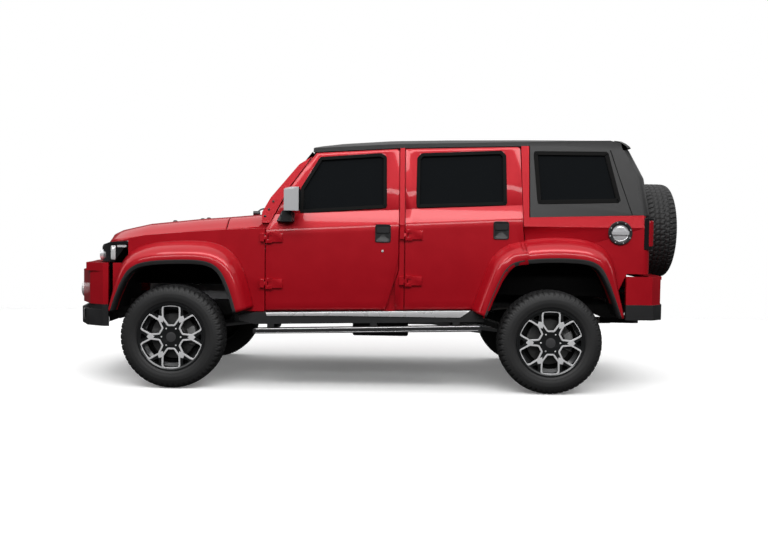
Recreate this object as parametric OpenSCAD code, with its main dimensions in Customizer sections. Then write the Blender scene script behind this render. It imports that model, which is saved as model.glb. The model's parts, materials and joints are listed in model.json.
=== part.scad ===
// Five-door off-road 4x4 on a ladder frame, with independent front suspension,
// a live rear axle, outside door hinges and the spare wheel on a side-hinged tailgate.
// +X runs to the rear, +Y to the right and +Z up. The origin is on the floor, in the middle
// of the overall length and width. Side views are drawn as [x from the front axle, z].

/* [Overall] */
// Distance from the front axle to the rear axle
wheelbase = 2745; // [2300:5:3300]
// Foremost point of the bumper ahead of the front axle
front_overhang = 820; // [760:5:990]
// Outer face of the spare wheel behind the rear axle
rear_overhang = 1065; // [1040:5:1280]
// Height of the roof at its highest point
overall_height = 1871; // [1800:1:2250]
// Width over the door skins
body_width = 1670; // [1600:2:2000]
// Width over the wheel arch flares
flare_width = 1925; // [1890:1:2200]

/* [Wheels] */
// Distance between the tyre centres of one axle
track = 1620; // [1570:2:1700]
// Outer diameter of a tyre
tyre_diameter = 754; // [640:2:790]
// Width of a tyre
tyre_width = 250; // [210:5:265]
// Diameter over the rim flange
rim_diameter = 496; // [420:2:540]
// Width over the rim flanges
rim_width = 222; // [190:2:240]

/* [Body] */
// Lean of the window frames from upright
side_lean = 10.1; // [6:0.1:11]
// Gap between a moving panel and its neighbour
shut_gap = 7; // [5:0.5:9]
// Thickness of the outer layer of a door
skin_depth = 28; // [22:1:34]
// Thickness of a whole door
door_depth = 76; // [66:1:90]
// Height of the waist where the window frames start to lean in
waist_height = 1215; // [1190:5:1240]
// Thickness of the window panes
glass_thickness = 5; // [4:0.5:8]
// Thickness of the bonnet
hood_thickness = 24; // [16:1:32]

/* [Chassis] */
// Width of a frame rail
rail_width = 70; // [50:1:90]
// Height of a frame rail
rail_height = 115; // [90:1:125]
// Distance from the centre to the middle of a rail
rail_offset = 405; // [380:1:420]
// Radius of the rear axle tube
axle_radius = 42; // [34:1:48]
// Radius of the hole in a front towing eye
tow_eye_radius = 14; // [10:0.5:18]
// Radius of the upright ball hole in the rear drawbar
hitch_hole_radius = 11.5; // [9:0.5:14]

/* [Hidden] */
$fn = 48;
half_body = body_width / 2;
half_flare = flare_width / 2;
wheel_y = track / 2;
wheel_z = tyre_diameter / 2;
rear_axle_x = wheelbase;
origin_x = (wheelbase + rear_overhang - front_overhang) / 2;
tail_x = wheelbase + rear_overhang;
rise = overall_height - 1871;

// Lines of the body in side view
function sill_z(x) = 576 + 0.02 * (x - 684);
function cladding_z(x) = 476 + 0.025 * (x - 634);
function step_z(x) = 449 + 0.0275 * (x - 600);
function frame_top_z(x) = rise + (x < 1639 ? 1739 + 0.0618 * (x - 1040) : 1776 + 0.0297 * (x - 1639));
function seam_z(x) = 1279 + 0.031 * (x - rear_axle_x + 195);

// Front door, rear door and post edges
door_f_front = 672;
door_f_rear = 1639;
door_r_front = 1688;
door_r_rear = rear_axle_x - 196;
body_end = rear_axle_x + 671;
screen_foot = [648, 1292];
screen_head = [994, 1742 + rise];
hinge_out = 16;
hinge_in = 8;
fit = 0.3;
fender_depth = skin_depth + shut_gap - fit;
fender_end = door_f_front - shut_gap;
floor_z = 600;
cargo_z = 740;
engine_z = 560;
gate_rear = rear_axle_x + 727;
gate_depth = 58;
gate_half = 655;
gate_foot = 884;
spare_z = 1196;
hub_face = rim_width / 2 - 66;
hub_bore = 36;

// Wheel arches: the opening under the lip, as [x, z] around the axle
arch_front = [[-424, 560], [-398, 640], [-345, 765], [-290, 845], [-220, 884], [-100, 902],
              [100, 910], [225, 906], [300, 884], [352, 832], [405, 715], [452, 560]];
arch_rear = [[-466, 560], [-420, 680], [-362, 810], [-318, 890], [-262, 934], [-100, 952],
             [60, 957], [220, 950], [300, 928], [348, 880], [410, 760], [488, 560]];

// Colours
red = [0.62, 0.03, 0.06];
black_plastic = [0.1, 0.1, 0.11];
steel_black = [0.14, 0.14, 0.15];
alloy = [0.72, 0.73, 0.75];
rubber = [0.07, 0.07, 0.07];
smoke_glass = [0.08, 0.09, 0.1, 0.5];
grey_trim = [0.22, 0.22, 0.23];

// ---- placing helpers ----

module on_car() {
    translate([-origin_x, 0, 0]) children();
}

module both_sides() {
    children();
    mirror([0, 1, 0]) children();
}

// Plate on the left side, drawn in side view and lying between two distances from the middle
module side_plate(inner, outer) {
    translate([0, -inner, 0]) rotate([90, 0, 0]) linear_extrude(outer - inner) children();
}

// Plate on the leaning left side above the waist, between two depths below the outer skin
module leaning_plate(from, to) {
    translate([0, -half_body, waist_height]) rotate([-side_lean, 0, 0])
        translate([0, to, 0]) rotate([90, 0, 0]) linear_extrude(to - from) children();
}

// Height in the leaning plane of a point at height z
function lean(z) = (z - waist_height) / cos(side_lean);
function leaned(points) = [for (p = points) [p[0], lean(p[1])]];
function side_y(z) = half_body - max(0, z - waist_height) * tan(side_lean);

// Closed slab between an upper and a lower surface. ts runs across, y_at gives its place
module grid_slab(xs, ts, y_at, top, bottom) {
    nx = len(xs);
    ny = len(ts);
    function at(i, j, layer) = layer * nx * ny + i * ny + j;
    function split(a, b, c, d) = [[a, b, c], [a, c, d]];
    points = concat([for (x = xs) for (t = ts) [x, y_at(x, t), top(x, t)]],
                    [for (x = xs) for (t = ts) [x, y_at(x, t), bottom(x, t)]]);
    cells = [for (i = [0:nx - 2]) for (j = [0:ny - 2]) each concat(
        split(at(i, j, 0), at(i, j + 1, 0), at(i + 1, j + 1, 0), at(i + 1, j, 0)),
        split(at(i, j, 1), at(i + 1, j, 1), at(i + 1, j + 1, 1), at(i, j + 1, 1)))];
    front_back = [for (j = [0:ny - 2]) each concat(
        split(at(0, j, 0), at(0, j, 1), at(0, j + 1, 1), at(0, j + 1, 0)),
        split(at(nx - 1, j, 0), at(nx - 1, j + 1, 0), at(nx - 1, j + 1, 1), at(nx - 1, j, 1)))];
    flanks = [for (i = [0:nx - 2]) each concat(
        split(at(i, 0, 0), at(i + 1, 0, 0), at(i + 1, 0, 1), at(i, 0, 1)),
        split(at(i, ny - 1, 0), at(i, ny - 1, 1), at(i + 1, ny - 1, 1), at(i + 1, ny - 1, 0)))];
    polyhedron(points, concat(cells, front_back, flanks), convexity = 4);
}

// Solid swept between open lines of equal length: sections[i] is a closed ring of points
module ring_sweep(sections) {
    n = len(sections);
    m = len(sections[0]);
    points = [for (s = sections) for (p = s) p];
    sides = [for (i = [0:n - 2]) for (j = [0:m - 1]) for (t = [0, 1])
        t == 0 ? [i * m + j, i * m + (j + 1) % m, (i + 1) * m + (j + 1) % m]
               : [i * m + j, (i + 1) * m + (j + 1) % m, (i + 1) * m + j]];
    first = [for (j = [m - 1:-1:0]) j];
    last = [for (j = [0:m - 1]) (n - 1) * m + j];
    polyhedron(points, concat(sides, [first], [last]), convexity = 6);
}

// ---- side view outlines ----

function moved(points, dx) = [for (p = points) [p[0] + dx, p[1]]];

// Front door outline, drawn in by an inset
function front_door_lower(i) = [
    [door_f_front + i, sill_z(door_f_front) + i], [door_f_front + i, 1176],
    [709 + i * 1.3, waist_height],
    [door_f_rear - i, waist_height], [door_f_rear - i, 884],
    [1596 - i, 752], [1540 - i * 1.3, sill_z(1540) + i]];

// swing draws the upper rear corner in, where the leaning frame swings past its post
function front_door_upper(i, swing) = [
    [709 + i * 1.3, waist_height - 1], [843 + i * 1.3, 1479],
    [1028 + i * 1.6, frame_top_z(1028) - shut_gap - i],
    [door_f_rear - 4 - i - swing, frame_top_z(door_f_rear) - shut_gap - i],
    [door_f_rear - i, waist_height - 1]];

function rear_door_lower(i) = [
    [door_r_front + i, sill_z(door_r_front) + i], [door_r_front + i, waist_height],
    [door_r_rear - 12 - i, waist_height], [door_r_rear - i, 1115],
    [door_r_rear + 10 - i, 1010], [door_r_rear + 18 - i, 940 + i],
    [rear_axle_x - 262 - i, 934 + i], [rear_axle_x - 318 - i, 890 + i],
    [rear_axle_x - 362 - i, 810], [rear_axle_x - 420 - i, 680],
    [rear_axle_x - 458 - i, sill_z(2290) + i]];

function rear_door_upper(i, swing) = [
    [door_r_front + i, waist_height - 1],
    [door_r_front - 4 + i, frame_top_z(door_r_front) - shut_gap - i],
    [door_r_rear - 28 - i - swing, frame_top_z(door_r_rear) - shut_gap - i],
    [door_r_rear - 12 - i, waist_height - 1]];

function front_window() = [[928, 1300], [930, 1465], [1062, 1690 + rise], [1500, 1724 + rise],
    [1531, 1704 + rise], [1538, 1345]];
function rear_window() = [[1776, 1350], [1779, 1700 + rise], [1806, 1728 + rise],
    [rear_axle_x - 366, 1754 + rise], [rear_axle_x - 340, 1728 + rise], [rear_axle_x - 334, 1378]];
function quarter_window() = [[rear_axle_x - 86, 1392], [rear_axle_x - 112, 1752 + rise],
    [rear_axle_x + 405, 1754 + rise], [rear_axle_x + 488, 1410]];

// ---- wheels ----

bead = rim_diameter / 2 - 16.5;
tyre_wall = 14;

// Half of a tyre's outline from the bead to the middle of the tread, as [radius, offset]
function tyre_outer() = let(h = tyre_width / 2, r = tyre_diameter / 2, f = rim_width / 2,
    lip = rim_diameter / 2, wall = r - lip) [
    [bead + fit, f - 10], [lip - 8, f - 8], [lip + 2, f - 1], [lip + wall * 0.12, max(f, h - 6)],
    [lip + wall * 0.35, h], [r - wall * 0.34, h - 4], [r - wall * 0.12, h - 18],
    [r - wall * 0.03, h - 42], [r, h - 80]];
function tyre_inner() = let(h = tyre_width / 2 - tyre_wall, r = tyre_diameter / 2 - tyre_wall,
    f = rim_width / 2, lip = rim_diameter / 2, wall = r - lip) [
    [r - wall * 0.02, h - 70], [r - wall * 0.07, h - 30], [r - wall * 0.38, h - 6],
    [lip + wall * 0.39, h - 2], [lip + wall * 0.09, f - 20], [bead + fit, f - 26]];
function flipped(points) = [for (i = [len(points) - 1:-1:0]) [points[i][0], -points[i][1]]];

module tyre() {
    color(rubber) rotate([90, 0, 0]) rotate_extrude($fn = 96)
        polygon(concat(tyre_outer(), flipped(tyre_outer()), flipped(tyre_inner()), tyre_inner()));
}

// Wheel with its outer face towards -Y, centred on the tyre
module rim() {
    flange = rim_diameter / 2;
    face = rim_width / 2;
    well = flange - 44;
    color(alloy) rotate([90, 0, 0]) {
        rotate_extrude($fn = 96)
            polygon([[flange, -face], [flange - 8, -face + 7], [bead, -face + 9],
                     [bead, -face + 44], [well, -face + 62], [well, face - 62], [bead, face - 44],
                     [bead, face - 9], [flange - 8, face - 7], [flange, face], [flange - 12, face],
                     [bead - 8, face - 10], [bead - 9, face - 46], [well - 8, face - 64],
                     [well - 8, -face + 64], [bead - 9, -face + 46], [bead - 8, -face + 10],
                     [flange - 12, -face]]);
        translate([0, 0, face - 44]) linear_extrude(36) difference() {
            circle(r = bead - 4, $fn = 96);
            for (a = [0:60:300]) rotate(a + 30) {
                polygon([[91, -29], [91, 29], [140, 56], [211, 56], [218, 44], [221, 0],
                         [218, -44], [211, -56], [140, -56]]);
                rotate(30) polygon([[180, 0], [210, 24], [219, 20], [221, 0], [219, -20], [210, -24]]);
            }
            circle(r = hub_bore);
        }
        translate([0, 0, hub_face]) difference() {
            cylinder(r = 84, h = 50);
            translate([0, 0, -1]) cylinder(r = hub_bore, h = 31);
            for (a = [0:60:300]) rotate(a) translate([69.85, 0, 24]) cylinder(r = 13, h = 40);
        }
    }
}

module wheel_at(x, side) {
    translate([x, -side * wheel_y, wheel_z]) rotate([0, 0, side > 0 ? 0 : 180]) children();
}

// ---- chassis ----

// Side outline of a frame rail, with a kick-up over the rear axle
function rail_outline() = [
    [-600, 430], [-600, 430 + rail_height], [-420, 560 + rail_height - 60],
    [420, 560 + rail_height - 60], [640, 455 + rail_height], [rear_axle_x - 560, 470 + rail_height],
    [rear_axle_x - 330, 590 + rail_height], [rear_axle_x + 300, 590 + rail_height],
    [rear_axle_x + 480, 520 + rail_height], [rear_axle_x + 640, 520 + rail_height],
    [rear_axle_x + 640, 520], [rear_axle_x + 480, 520], [rear_axle_x + 300, 590],
    [rear_axle_x - 330, 590], [rear_axle_x - 560, 470], [640, 455], [420, 500], [-420, 500]];

module crossmember(x, z, dx, dz) {
    translate([x - dx / 2, -rail_offset + rail_width / 2 - 5, z])
        cube([dx, 2 * rail_offset - rail_width + 10, dz]);
}

module ladder_frame() {
    mount_x = [760, 1350, rear_axle_x - 620];
    color(steel_black) on_car() difference() {
        union() {
            both_sides() {
                side_plate(rail_offset - rail_width / 2, rail_offset + rail_width / 2)
                    polygon(rail_outline());
                // outriggers, each with a body mount
                for (x = mount_x) {
                    translate([x, -half_body + door_depth + 2, 505])
                        cube([50, half_body - door_depth - 2 - rail_offset, 40]);
                    translate([x + 25, -half_body + 130, 544])
                        cylinder(r = 28, h = floor_z - 544 - fit);
                }
                for (x = [rear_axle_x - 130, rear_axle_x + 280])
                    translate([x, -rail_offset, 704]) cylinder(r = 28, h = cargo_z - 704 - fit);
                tow_eye();
            }
            crossmember(-560, 450, 60, 80);
            crossmember(-250, 500, 80, engine_z - 500 - fit);
            crossmember(1255, 537, 60, 38);
            crossmember(1760, 500, 70, 60);
            crossmember(rear_axle_x - 230, 620, 60, 70);
            crossmember(rear_axle_x + 250, 620, 60, 70);
            crossmember(rear_axle_x + 600, 530, 70, 90);
            hitch_bar();
        }
        both_sides() translate([-front_overhang + 32, -330, 480])
            cylinder(r = tow_eye_radius, h = 60);
        translate([rear_axle_x + 830, 0, 400]) cylinder(r = hitch_hole_radius, h = 90);
    }
}

// Towing eye plate on the front end of a rail
module tow_eye() {
    translate([-front_overhang + 32, -330, 494]) cylinder(r = 32, h = 22);
    translate([-front_overhang + 32, -350, 494]) cube([front_overhang - 600, 40, 22]);
    side_plate(319, rail_offset) translate([-640, 470]) square([45, 70]);
}

// Drawbar under the rear bumper, with a flat tongue for a tow ball
module hitch_bar() {
    translate([rear_axle_x + 560, -30, 440]) cube([210, 60, 60]);
    translate([rear_axle_x + 575, -30, 480]) cube([60, 60, 60]);
    translate([rear_axle_x + 740, -35, 440]) cube([90, 70, 22]);
    translate([rear_axle_x + 830, 0, 440]) cylinder(r = 35, h = 22);
}

// ---- body ----

// Floor, bulkhead, transmission tunnel, load floor and wheel housings in one welded tub
module body_tub() {
    inner = half_body - door_depth - fit;
    step_x = rear_axle_x - 560;
    well_inner = 630;
    color(grey_trim) on_car() {
        difference() {
            union() {
                translate([590, -inner, floor_z]) cube([step_x - 590, 2 * inner, 16]);
                translate([574, -inner, floor_z]) cube([16, 2 * inner, 500]);
                translate([574, -700, floor_z]) cube([16, 1400, 550]);
                translate([574, -166, floor_z]) cube([426, 332, 166]);
                translate([990, -116, floor_z]) cube([420, 232, 106]);
            }
            translate([570, -150, floor_z - 1]) cube([420, 300, 151]);
            translate([980, -100, floor_z - 1]) cube([420, 200, 91]);
        }
        translate([step_x, -inner, floor_z]) cube([16, 2 * inner, cargo_z - floor_z + 16]);
        difference() {
            translate([step_x, -inner, cargo_z])
                cube([gate_rear - gate_depth - 20 - step_x, 2 * inner, 16]);
            both_sides() translate([rear_axle_x - 480, -inner - 1, cargo_z - 1])
                cube([985, inner + 1 - well_inner - 5, 18]);
        }
        both_sides() {
            wheel_liner(0, arch_front, 480, half_body - fender_depth - fit, 740);
            wheel_liner(rear_axle_x, arch_rear, well_inner, inner, 700);
        }
    }
}

// Wheel housing: a band over the arch with a wall on its inner side above a given height
module wheel_liner(x, arch, inner, outer, wall_from) {
    outside = [for (p = arch) [p[0] * 1.05 + x, p[1] + (p[1] < 600 ? 0 : 14)]];
    inside = [for (p = arch) [p[0] * 1.02 + x, p[1] + (p[1] < 600 ? 0 : 4)]];
    side_plate(inner, outer) difference() {
        polygon(outside);
        polygon(inside);
        translate([x - 300, 500]) square([600, 100]);
        translate([x - 500, 540]) square([1000, 24]);
    }
    side_plate(inner, inner + 10) intersection() {
        polygon(outside);
        translate([x - 800, wall_from]) square([1600, 1000]);
    }
}

ring_inset = 30;

// Outer layer of the lower body side: centre post strip and quarter panel
module lower_side_outer() {
    g = shut_gap;
    difference() {
        polygon([[door_f_rear - 20, sill_z(1640)], [door_f_rear - 20, waist_height],
                 [body_end, waist_height], [body_end, 880], [body_end - 120, 880],
                 [rear_axle_x + 440, 640], [rear_axle_x + 440, sill_z(2290) + 1]]);
        polygon(front_door_lower(-g));
        translate([0, 20]) polygon(front_door_lower(-g));
        polygon(rear_door_lower(-g));
        translate([0, 20]) polygon(rear_door_lower(-g));
        polygon(moved(concat([[-466, 450]], arch_rear, [[488, 450]]), rear_axle_x));
    }
}

module lower_side_inner() {
    difference() {
        polygon([[600, sill_z(600) - 70], [600, 1176], [650, waist_height + 1],
                 [body_end, waist_height + 1], [body_end, 880], [body_end - 120, 880],
                 [rear_axle_x + 440, 640], [rear_axle_x + 380, 560],
                 [rear_axle_x - 458, sill_z(2290) - 70]]);
        polygon(front_door_lower(ring_inset + 1));
        translate([0, 20]) polygon(front_door_lower(ring_inset + 1));
        polygon(rear_door_lower(ring_inset + 1));
        translate([0, 20]) polygon(rear_door_lower(ring_inset + 1));
        polygon(moved(concat([[-466, 450]], arch_rear, [[488, 450]]), rear_axle_x));
    }
}

// Leaning upper side: windscreen pillar, roof rail, posts and the band under the hard top
module upper_side(i) {
    rear_top = rear_axle_x - 160;
    difference() {
        polygon(leaned([[640, waist_height - 1], [640, 1290], [700, 1399], [896, 1647 + rise],
                        [1000, 1738 + rise - 30], [1028, frame_top_z(1028) - fit],
                        [door_f_rear, frame_top_z(door_f_rear) - fit],
                        [rear_top, frame_top_z(rear_top) - fit],
                        [rear_top, seam_z(rear_top) - fit], [body_end, seam_z(body_end) - fit],
                        [body_end, waist_height - 1]]));
        polygon(leaned(concat([[700 + i * 1.3, waist_height - 30]], front_door_upper(i, 0),
                              [[door_f_rear - i, waist_height - 30]])));
        polygon(leaned(concat([[door_r_front + i, waist_height - 30]], rear_door_upper(i, 0),
                              [[door_r_rear - 12 - i, waist_height - 30]])));
    }
}

module body_side() {
    outer_depth = skin_depth + shut_gap;
    side_plate(half_body - door_depth, half_body - outer_depth) lower_side_inner();
    side_plate(half_body - outer_depth - 1, half_body) lower_side_outer();
    leaning_plate(outer_depth, door_depth - 6) upper_side(ring_inset);
    leaning_plate(0, outer_depth + 1) upper_side(-shut_gap);
    // corner post beside the tailgate, rounded in plan and open where the lamp sits
    difference() {
        translate([0, 0, 880]) linear_extrude(waist_height - 881) polygon(corner_plan());
        translate([body_end, -half_body - 10, lamp_low - fit])
            cube([200, half_body + 10 - lamp_inner + fit, lamp_high - lamp_low + 2 * fit]);
    }
    translate([body_end - 60, -side_y(1300) + 20, waist_height - 20])
        cube([60, side_y(1300) - 20 - gate_half - shut_gap, 82]);
    for (z = [806, 1140]) body_hinge(door_r_front + hinge_in, z, door_r_front - shut_gap);
}

// Plan of the rear corner, from the side panel round to the tailgate
corner_r = gate_rear - 6 - body_end;
function corner_plan() = let(inner = -gate_half - shut_gap, c = [body_end, corner_r - half_body])
    concat([[body_end - 60, inner], [body_end - 60, -half_body + 1], [body_end - 5, -half_body + 1]],
           [for (a = [270:10:360]) c + corner_r * [cos(a), sin(a)]],
           [[body_end + corner_r, inner]]);

module body_sides() {
    color(red) on_car() {
        both_sides() body_side();
        for (z = [960, 1230]) gate_bracket(z);
    }
}

// Fixed half of an outside hinge: a bracket on the panel, an arm, a knuckle and the pin
module body_hinge(x, z, edge) {
    y = -half_body - hinge_out;
    translate([x, y, z - 40]) cylinder(r = 5, h = 80);
    translate([x, y, z - 13]) cylinder(r = 10, h = 26);
    translate([edge - 34, y - 8, z - 13]) cube([x - edge + 34, 14, 26]);
    translate([edge - 34, y - 8, z - 30]) cube([32, hinge_out + 9, 60]);
}

// Moving half of an outside hinge: two knuckles round the pin and a strap on the door
module door_hinge(x, z) {
    y = -half_body - hinge_out;
    for (end = [-40, 13 + 1]) difference() {
        union() {
            translate([x, y, z + end]) cylinder(r = 10, h = 26);
            translate([x, y - 8, z + end]) cube([40, 16, 26]);
        }
        translate([x, y, z + end - 1]) cylinder(r = 5 + fit, h = 28);
    }
    translate([x + 14, -half_body - hinge_out - 4, z - 32]) cube([100, hinge_out + 5, 64]);
}

// ---- bonnet, cowl and roof surfaces ----

function hood_line(x) = lookup(x, [[-566, 1085], [-530, 1125], [-468, 1150], [-393, 1168],
    [-241, 1204], [138, 1246], [365, 1264], [640, 1290]]);
function hood_scale(x) = lookup(x, [[-566, 0.35], [-530, 0.65], [-468, 0.75], [-393, 0.85], [-241, 1]]);
function hood_half(x) = min(half_body - door_depth - fit, half_body - 835 +
    lookup(x, [[-566, 540], [-530, 620], [-468, 680], [-393, 712], [-241, 728], [138, 745],
               [640, 762]]));
function hood_drop(t) = lookup(abs(t), [[0, 0], [0.4, 4], [0.75, 10], [0.82, 20], [0.87, 32],
    [0.93, 64], [1, 100]]);
function hood_z(x, t) = hood_line(x) - hood_scale(x) * hood_drop(t);
function mirrored(steps) = concat([for (i = [len(steps) - 1:-1:1]) -steps[i]], steps);
hood_steps = mirrored([0, 0.4, 0.75, 0.82, 0.87, 0.93, 1]);
cowl_front = 372;
bonnet_rear = cowl_front - shut_gap;

module bonnet() {
    color(red) on_car()
        grid_slab([-566, -530, -468, -393, -241, 0, 138, bonnet_rear], hood_steps,
                  function(x, t) t * hood_half(x), function(x, t) hood_z(x, t),
                  function(x, t) hood_z(x, t) - hood_thickness);
}

module windscreen_frame() {
    color(red) on_car() {
        grid_slab([cowl_front, 500, 630], hood_steps, function(x, t) t * hood_half(x),
                  function(x, t) hood_z(x, t), function(x, t) hood_z(x, t) - 60);
        // wall between the cowl and the bulkhead
        translate([575, -700, 1150 + fit]) cube([50, 1400, 70]);
    }
}

function roof_line(x) = rise + lookup(x, [[1004, 1792], [1100, 1812], [1220, 1830], [1570, 1857],
    [2018, 1868], [2549, 1871], [2851, 1869], [3180, 1863], [3260, 1856]]);
function roof_half(x) = side_y(frame_top_z(x));
function roof_z(x, t) = let(edge = frame_top_z(x) + roof_edge_height,
    share = lookup(abs(t), [[0, 0], [0.4, 0.07], [0.7, 0.22], [0.85, 0.4], [0.93, 0.62],
                            [0.97, 0.8], [1, 1]]))
    roof_line(x) - (roof_line(x) - edge) * share;
roof_edge_height = 30;

module hard_top() {
    xs = [1004, 1060, 1220, 1570, door_f_rear, 2018, 2549, 2851, 3180, rear_axle_x + 515];
    color(black_plastic) on_car() {
        grid_slab(xs, mirrored([0, 0.4, 0.7, 0.85, 0.93, 0.97, 1]),
                  function(x, t) t * roof_half(x), function(x, t) roof_z(x, t),
                  function(x, t) roof_z(x, t) - roof_edge_height);
        // header over the windscreen, between the roof rails
        translate([1004, -side_y(1750 + rise) + 80, 1715 + rise])
            cube([60, 2 * side_y(1750 + rise) - 160, 60]);
        both_sides() {
            leaning_plate(0, 30) hard_top_side();
            hull() {
                corner_slice(seam_z(body_end) + fit, 0);
                corner_slice(1573 + rise, 38);
            }
            hull() {
                corner_slice(1573 + rise, 38);
                corner_slice(1800 + rise, 140);
            }
        }
        // rear edge of the roof over the tailgate
        translate([rear_axle_x + 515 - 60, -560, gate_top + shut_gap]) cube([60, 1120, 60]);
    }
}

// Slice of the rear corner at a height, moved forwards and inwards by the lean
module corner_slice(z, forward) {
    translate([body_end - forward, -side_y(z) + corner_r, z]) cylinder(r = corner_r, h = 3, $fn = 32);
    translate([body_end - forward - 30, -side_y(z) + 4, z]) cube([30, 60, 3]);
    translate([body_end - forward, -side_y(z) + corner_r, z]) cube([corner_r, 40, 3]);
}

module hard_top_side() {
    difference() {
        polygon(leaned([[rear_axle_x - 160 + shut_gap, seam_z(2585)],
                        [rear_axle_x - 160 + shut_gap, frame_top_z(2590) + 10],
                        [rear_axle_x + 515, frame_top_z(3260) + 10],
                        [rear_axle_x + 668 - 60, 1640 + rise],
                        [body_end, seam_z(body_end) + 1 + fit]]));
        polygon(leaned(quarter_window()));
    }
}

function fender_top(x) = lookup(x, [[-335, 1088], [-208, 1112], [171, 1146], [395, 1162], [667, 1174]]);

module front_fender() {
    side_plate(half_body - fender_depth, half_body) difference() {
        polygon([[-335, fender_top(-335)], [-208, fender_top(-208)], [171, fender_top(171)],
                 [395, fender_top(395)], [fender_end, fender_top(fender_end)],
                 [fender_end, sill_z(600) - 6], [490, sill_z(480) - 6], [445, 560], [-424, 560],
                 [-448, 620], [-448, 905], [-335, 905]]);
        polygon(concat([[-424, 500]], arch_front, [[452, 500]]));
    }
    // top of the fender, in to the edge of the bonnet
    grid_slab([-335, -208, 0, 171, 395, 600 - shut_gap], [0, 1],
              function(x, t) -half_body + 1 + t * (half_body - 1 - hood_half(x) - shut_gap),
              function(x, t) fender_top(x) + 4 * t, function(x, t) fender_top(x) - 16);
    for (z = [772, 1107]) body_hinge(door_f_front + hinge_in, z, fender_end);
}

module front_fenders() {
    color(red) on_car() both_sides() front_fender();
}

// Flare cross-section along an arch: out along the lip, up the painted face and back to the body.
// widths says how far it reaches up the body at each point of the arch
function arch_normal(a, k) = let(n = len(a), p = a[max(k - 1, 0)], q = a[min(k + 1, n - 1)],
    d = q - p, l = norm(d)) [-d[1] / l, d[0] / l];
function flare_ring(a, k, x, root, width) = let(p = a[k], n = arch_normal(a, k),
    at = function(share, y) [p[0] + x + n[0] * share * width, -y, p[1] + n[1] * share * width]) [
        at(0, root), at(0, half_flare - 12), at(0.12, half_flare - 3), at(0.26, half_flare),
        at(0.52, half_flare - 8), at(0.81, half_body + 44), at(1, root)];
module flare(arch, widths, x, root) {
    ring_sweep([for (k = [0:len(arch) - 1]) flare_ring(arch, k, x, root, widths[k])]);
}
widths_front = [45, 55, 80, 120, 150, 165, 168, 170, 172, 165, 150, 140];
widths_rear = [110, 118, 130, 150, 165, 178, 182, 178, 165, 130, 85, 50];

door_cut_x = door_r_rear + 18;

module fender_flares() {
    color(red) on_car() both_sides() {
        flare(arch_front, widths_front, 0, half_body + fit);
        intersection() {
            flare(arch_rear, widths_rear, rear_axle_x, half_body + fit);
            translate([door_cut_x + shut_gap, -1100, 625]) cube([1400, 400, 700]);
        }
    }
}

// Grille panel with the radiator support under it and two rubber stops for the bonnet
module grille_panel() {
    color(black_plastic) on_car() difference() {
        union() {
            translate([-596, -560, 850]) cube([36, 1120, 160]);
            translate([-596, -400, 1009]) cube([36, 800, 41]);
            translate([-596, -300, 530 + fit]) cube([36, 600, 321]);
            for (y = [-300, 300]) translate([-566, y - 10, 1049])
                cube([6, 20, hood_z(-566, 310 / hood_half(-566)) - hood_thickness - fit - 1049]);
        }
        for (k = [-2:2]) translate([-600, k * 150 - 50, 900]) cube([22, 100, 90]);
    }
}

// Plan of the front bumper, wrapping round the corners
function bumper_half(front, corner) = [
    [front, -320], [front + 42, -560], [corner, -760], [bumper_tip - 40, -half_body],
    [bumper_tip, -half_body], [bumper_tip, -half_body + 22], [corner + 70, -700],
    [front + 130, -520]];
function bumper_plan(front, corner) = let(half = bumper_half(front, corner))
    concat(half, [for (i = [len(half) - 1:-1:0]) [half[i][0], -half[i][1]]]);
bumper_tip = -475 - shut_gap;

module front_bumper() {
    f = -front_overhang;
    color(red) on_car() difference() {
        union() {
            translate([0, 0, 600]) linear_extrude(245) polygon(bumper_plan(f + 22, -640));
            translate([0, 0, 560]) linear_extrude(41) polygon(bumper_plan(f + 60, -620));
            translate([0, 0, 440]) linear_extrude(121) polygon(bumper_plan(f + 12, -660));
            translate([0, 0, 844]) linear_extrude(61) polygon(bumper_plan(f + 90, -670));
            both_sides() for (y = [408, 424]) translate([f + 100, -y - 16, 500])
                cube([-600 - fit - f - 100, 16, 45]);
        }
        both_sides() translate([f - 1, -370, 439]) cube([400, 80, 86]);
    }
}

module rear_bumper() {
    e = rear_axle_x + 855;
    function half(out) = [[e - out, 640], [e - 30 - out, 780], [e - 110 - out, 852],
        [e - 310, half_body + 27], [e - 310, half_body - 10], [e - 120, 815], [e - 60, 640]];
    function plan(out) = let(h = half(out)) concat(h,
        [for (i = [len(h) - 1:-1:0]) [h[i][0], -h[i][1]]]);
    color(red) on_car() {
        difference() {
            union() {
                translate([0, 0, 655]) linear_extrude(205) polygon(plan(10));
                translate([gate_rear + 8, -740, 836]) cube([e - 30 - gate_rear, 1480, 24]);
            }
            translate([tail_x - tyre_width - 30, -330, 790]) cube([200, 660, 100]);
        }
        translate([0, 0, 545]) linear_extrude(111) polygon(plan(0));
        both_sides() for (y = [380, 410]) translate([rear_axle_x + 640 + fit, -y - 16, 560])
            cube([170, 16, 60]);
    }
}

lamp_low = 1058;
lamp_high = 1286;
lamp_inner = 700;

module lamps() {
    inner = 560 + fit;
    color(smoke_glass) on_car() both_sides() hull() {
        translate([-598, -inner - 4, 908]) cube([60, 4, 102]);
        translate([-585, -650, 908]) cube([60, 4, 110]);
        translate([-545, -745, 910]) cube([60, 4, 128]);
        translate([-470, -half_body + 6, 914]) cube([30, 4, 144]);
        translate([-352, -half_body + 6, 1052]) cube([12, 4, 14]);
    }
    color([0.6, 0.02, 0.04]) on_car() both_sides() translate([0, 0, lamp_low])
        linear_extrude(lamp_high - lamp_low) intersection() {
            translate([body_end + fit, -half_body - 2]) square([76, half_body + 2 - lamp_inner]);
            union() {
                translate([body_end + 36, -half_body + 38]) circle(r = 40);
                translate([body_end, -half_body + 38]) square([76, 200]);
                translate([body_end, -half_body - 2]) square([36, 200]);
            }
        }
}

// ---- glass ----

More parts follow.
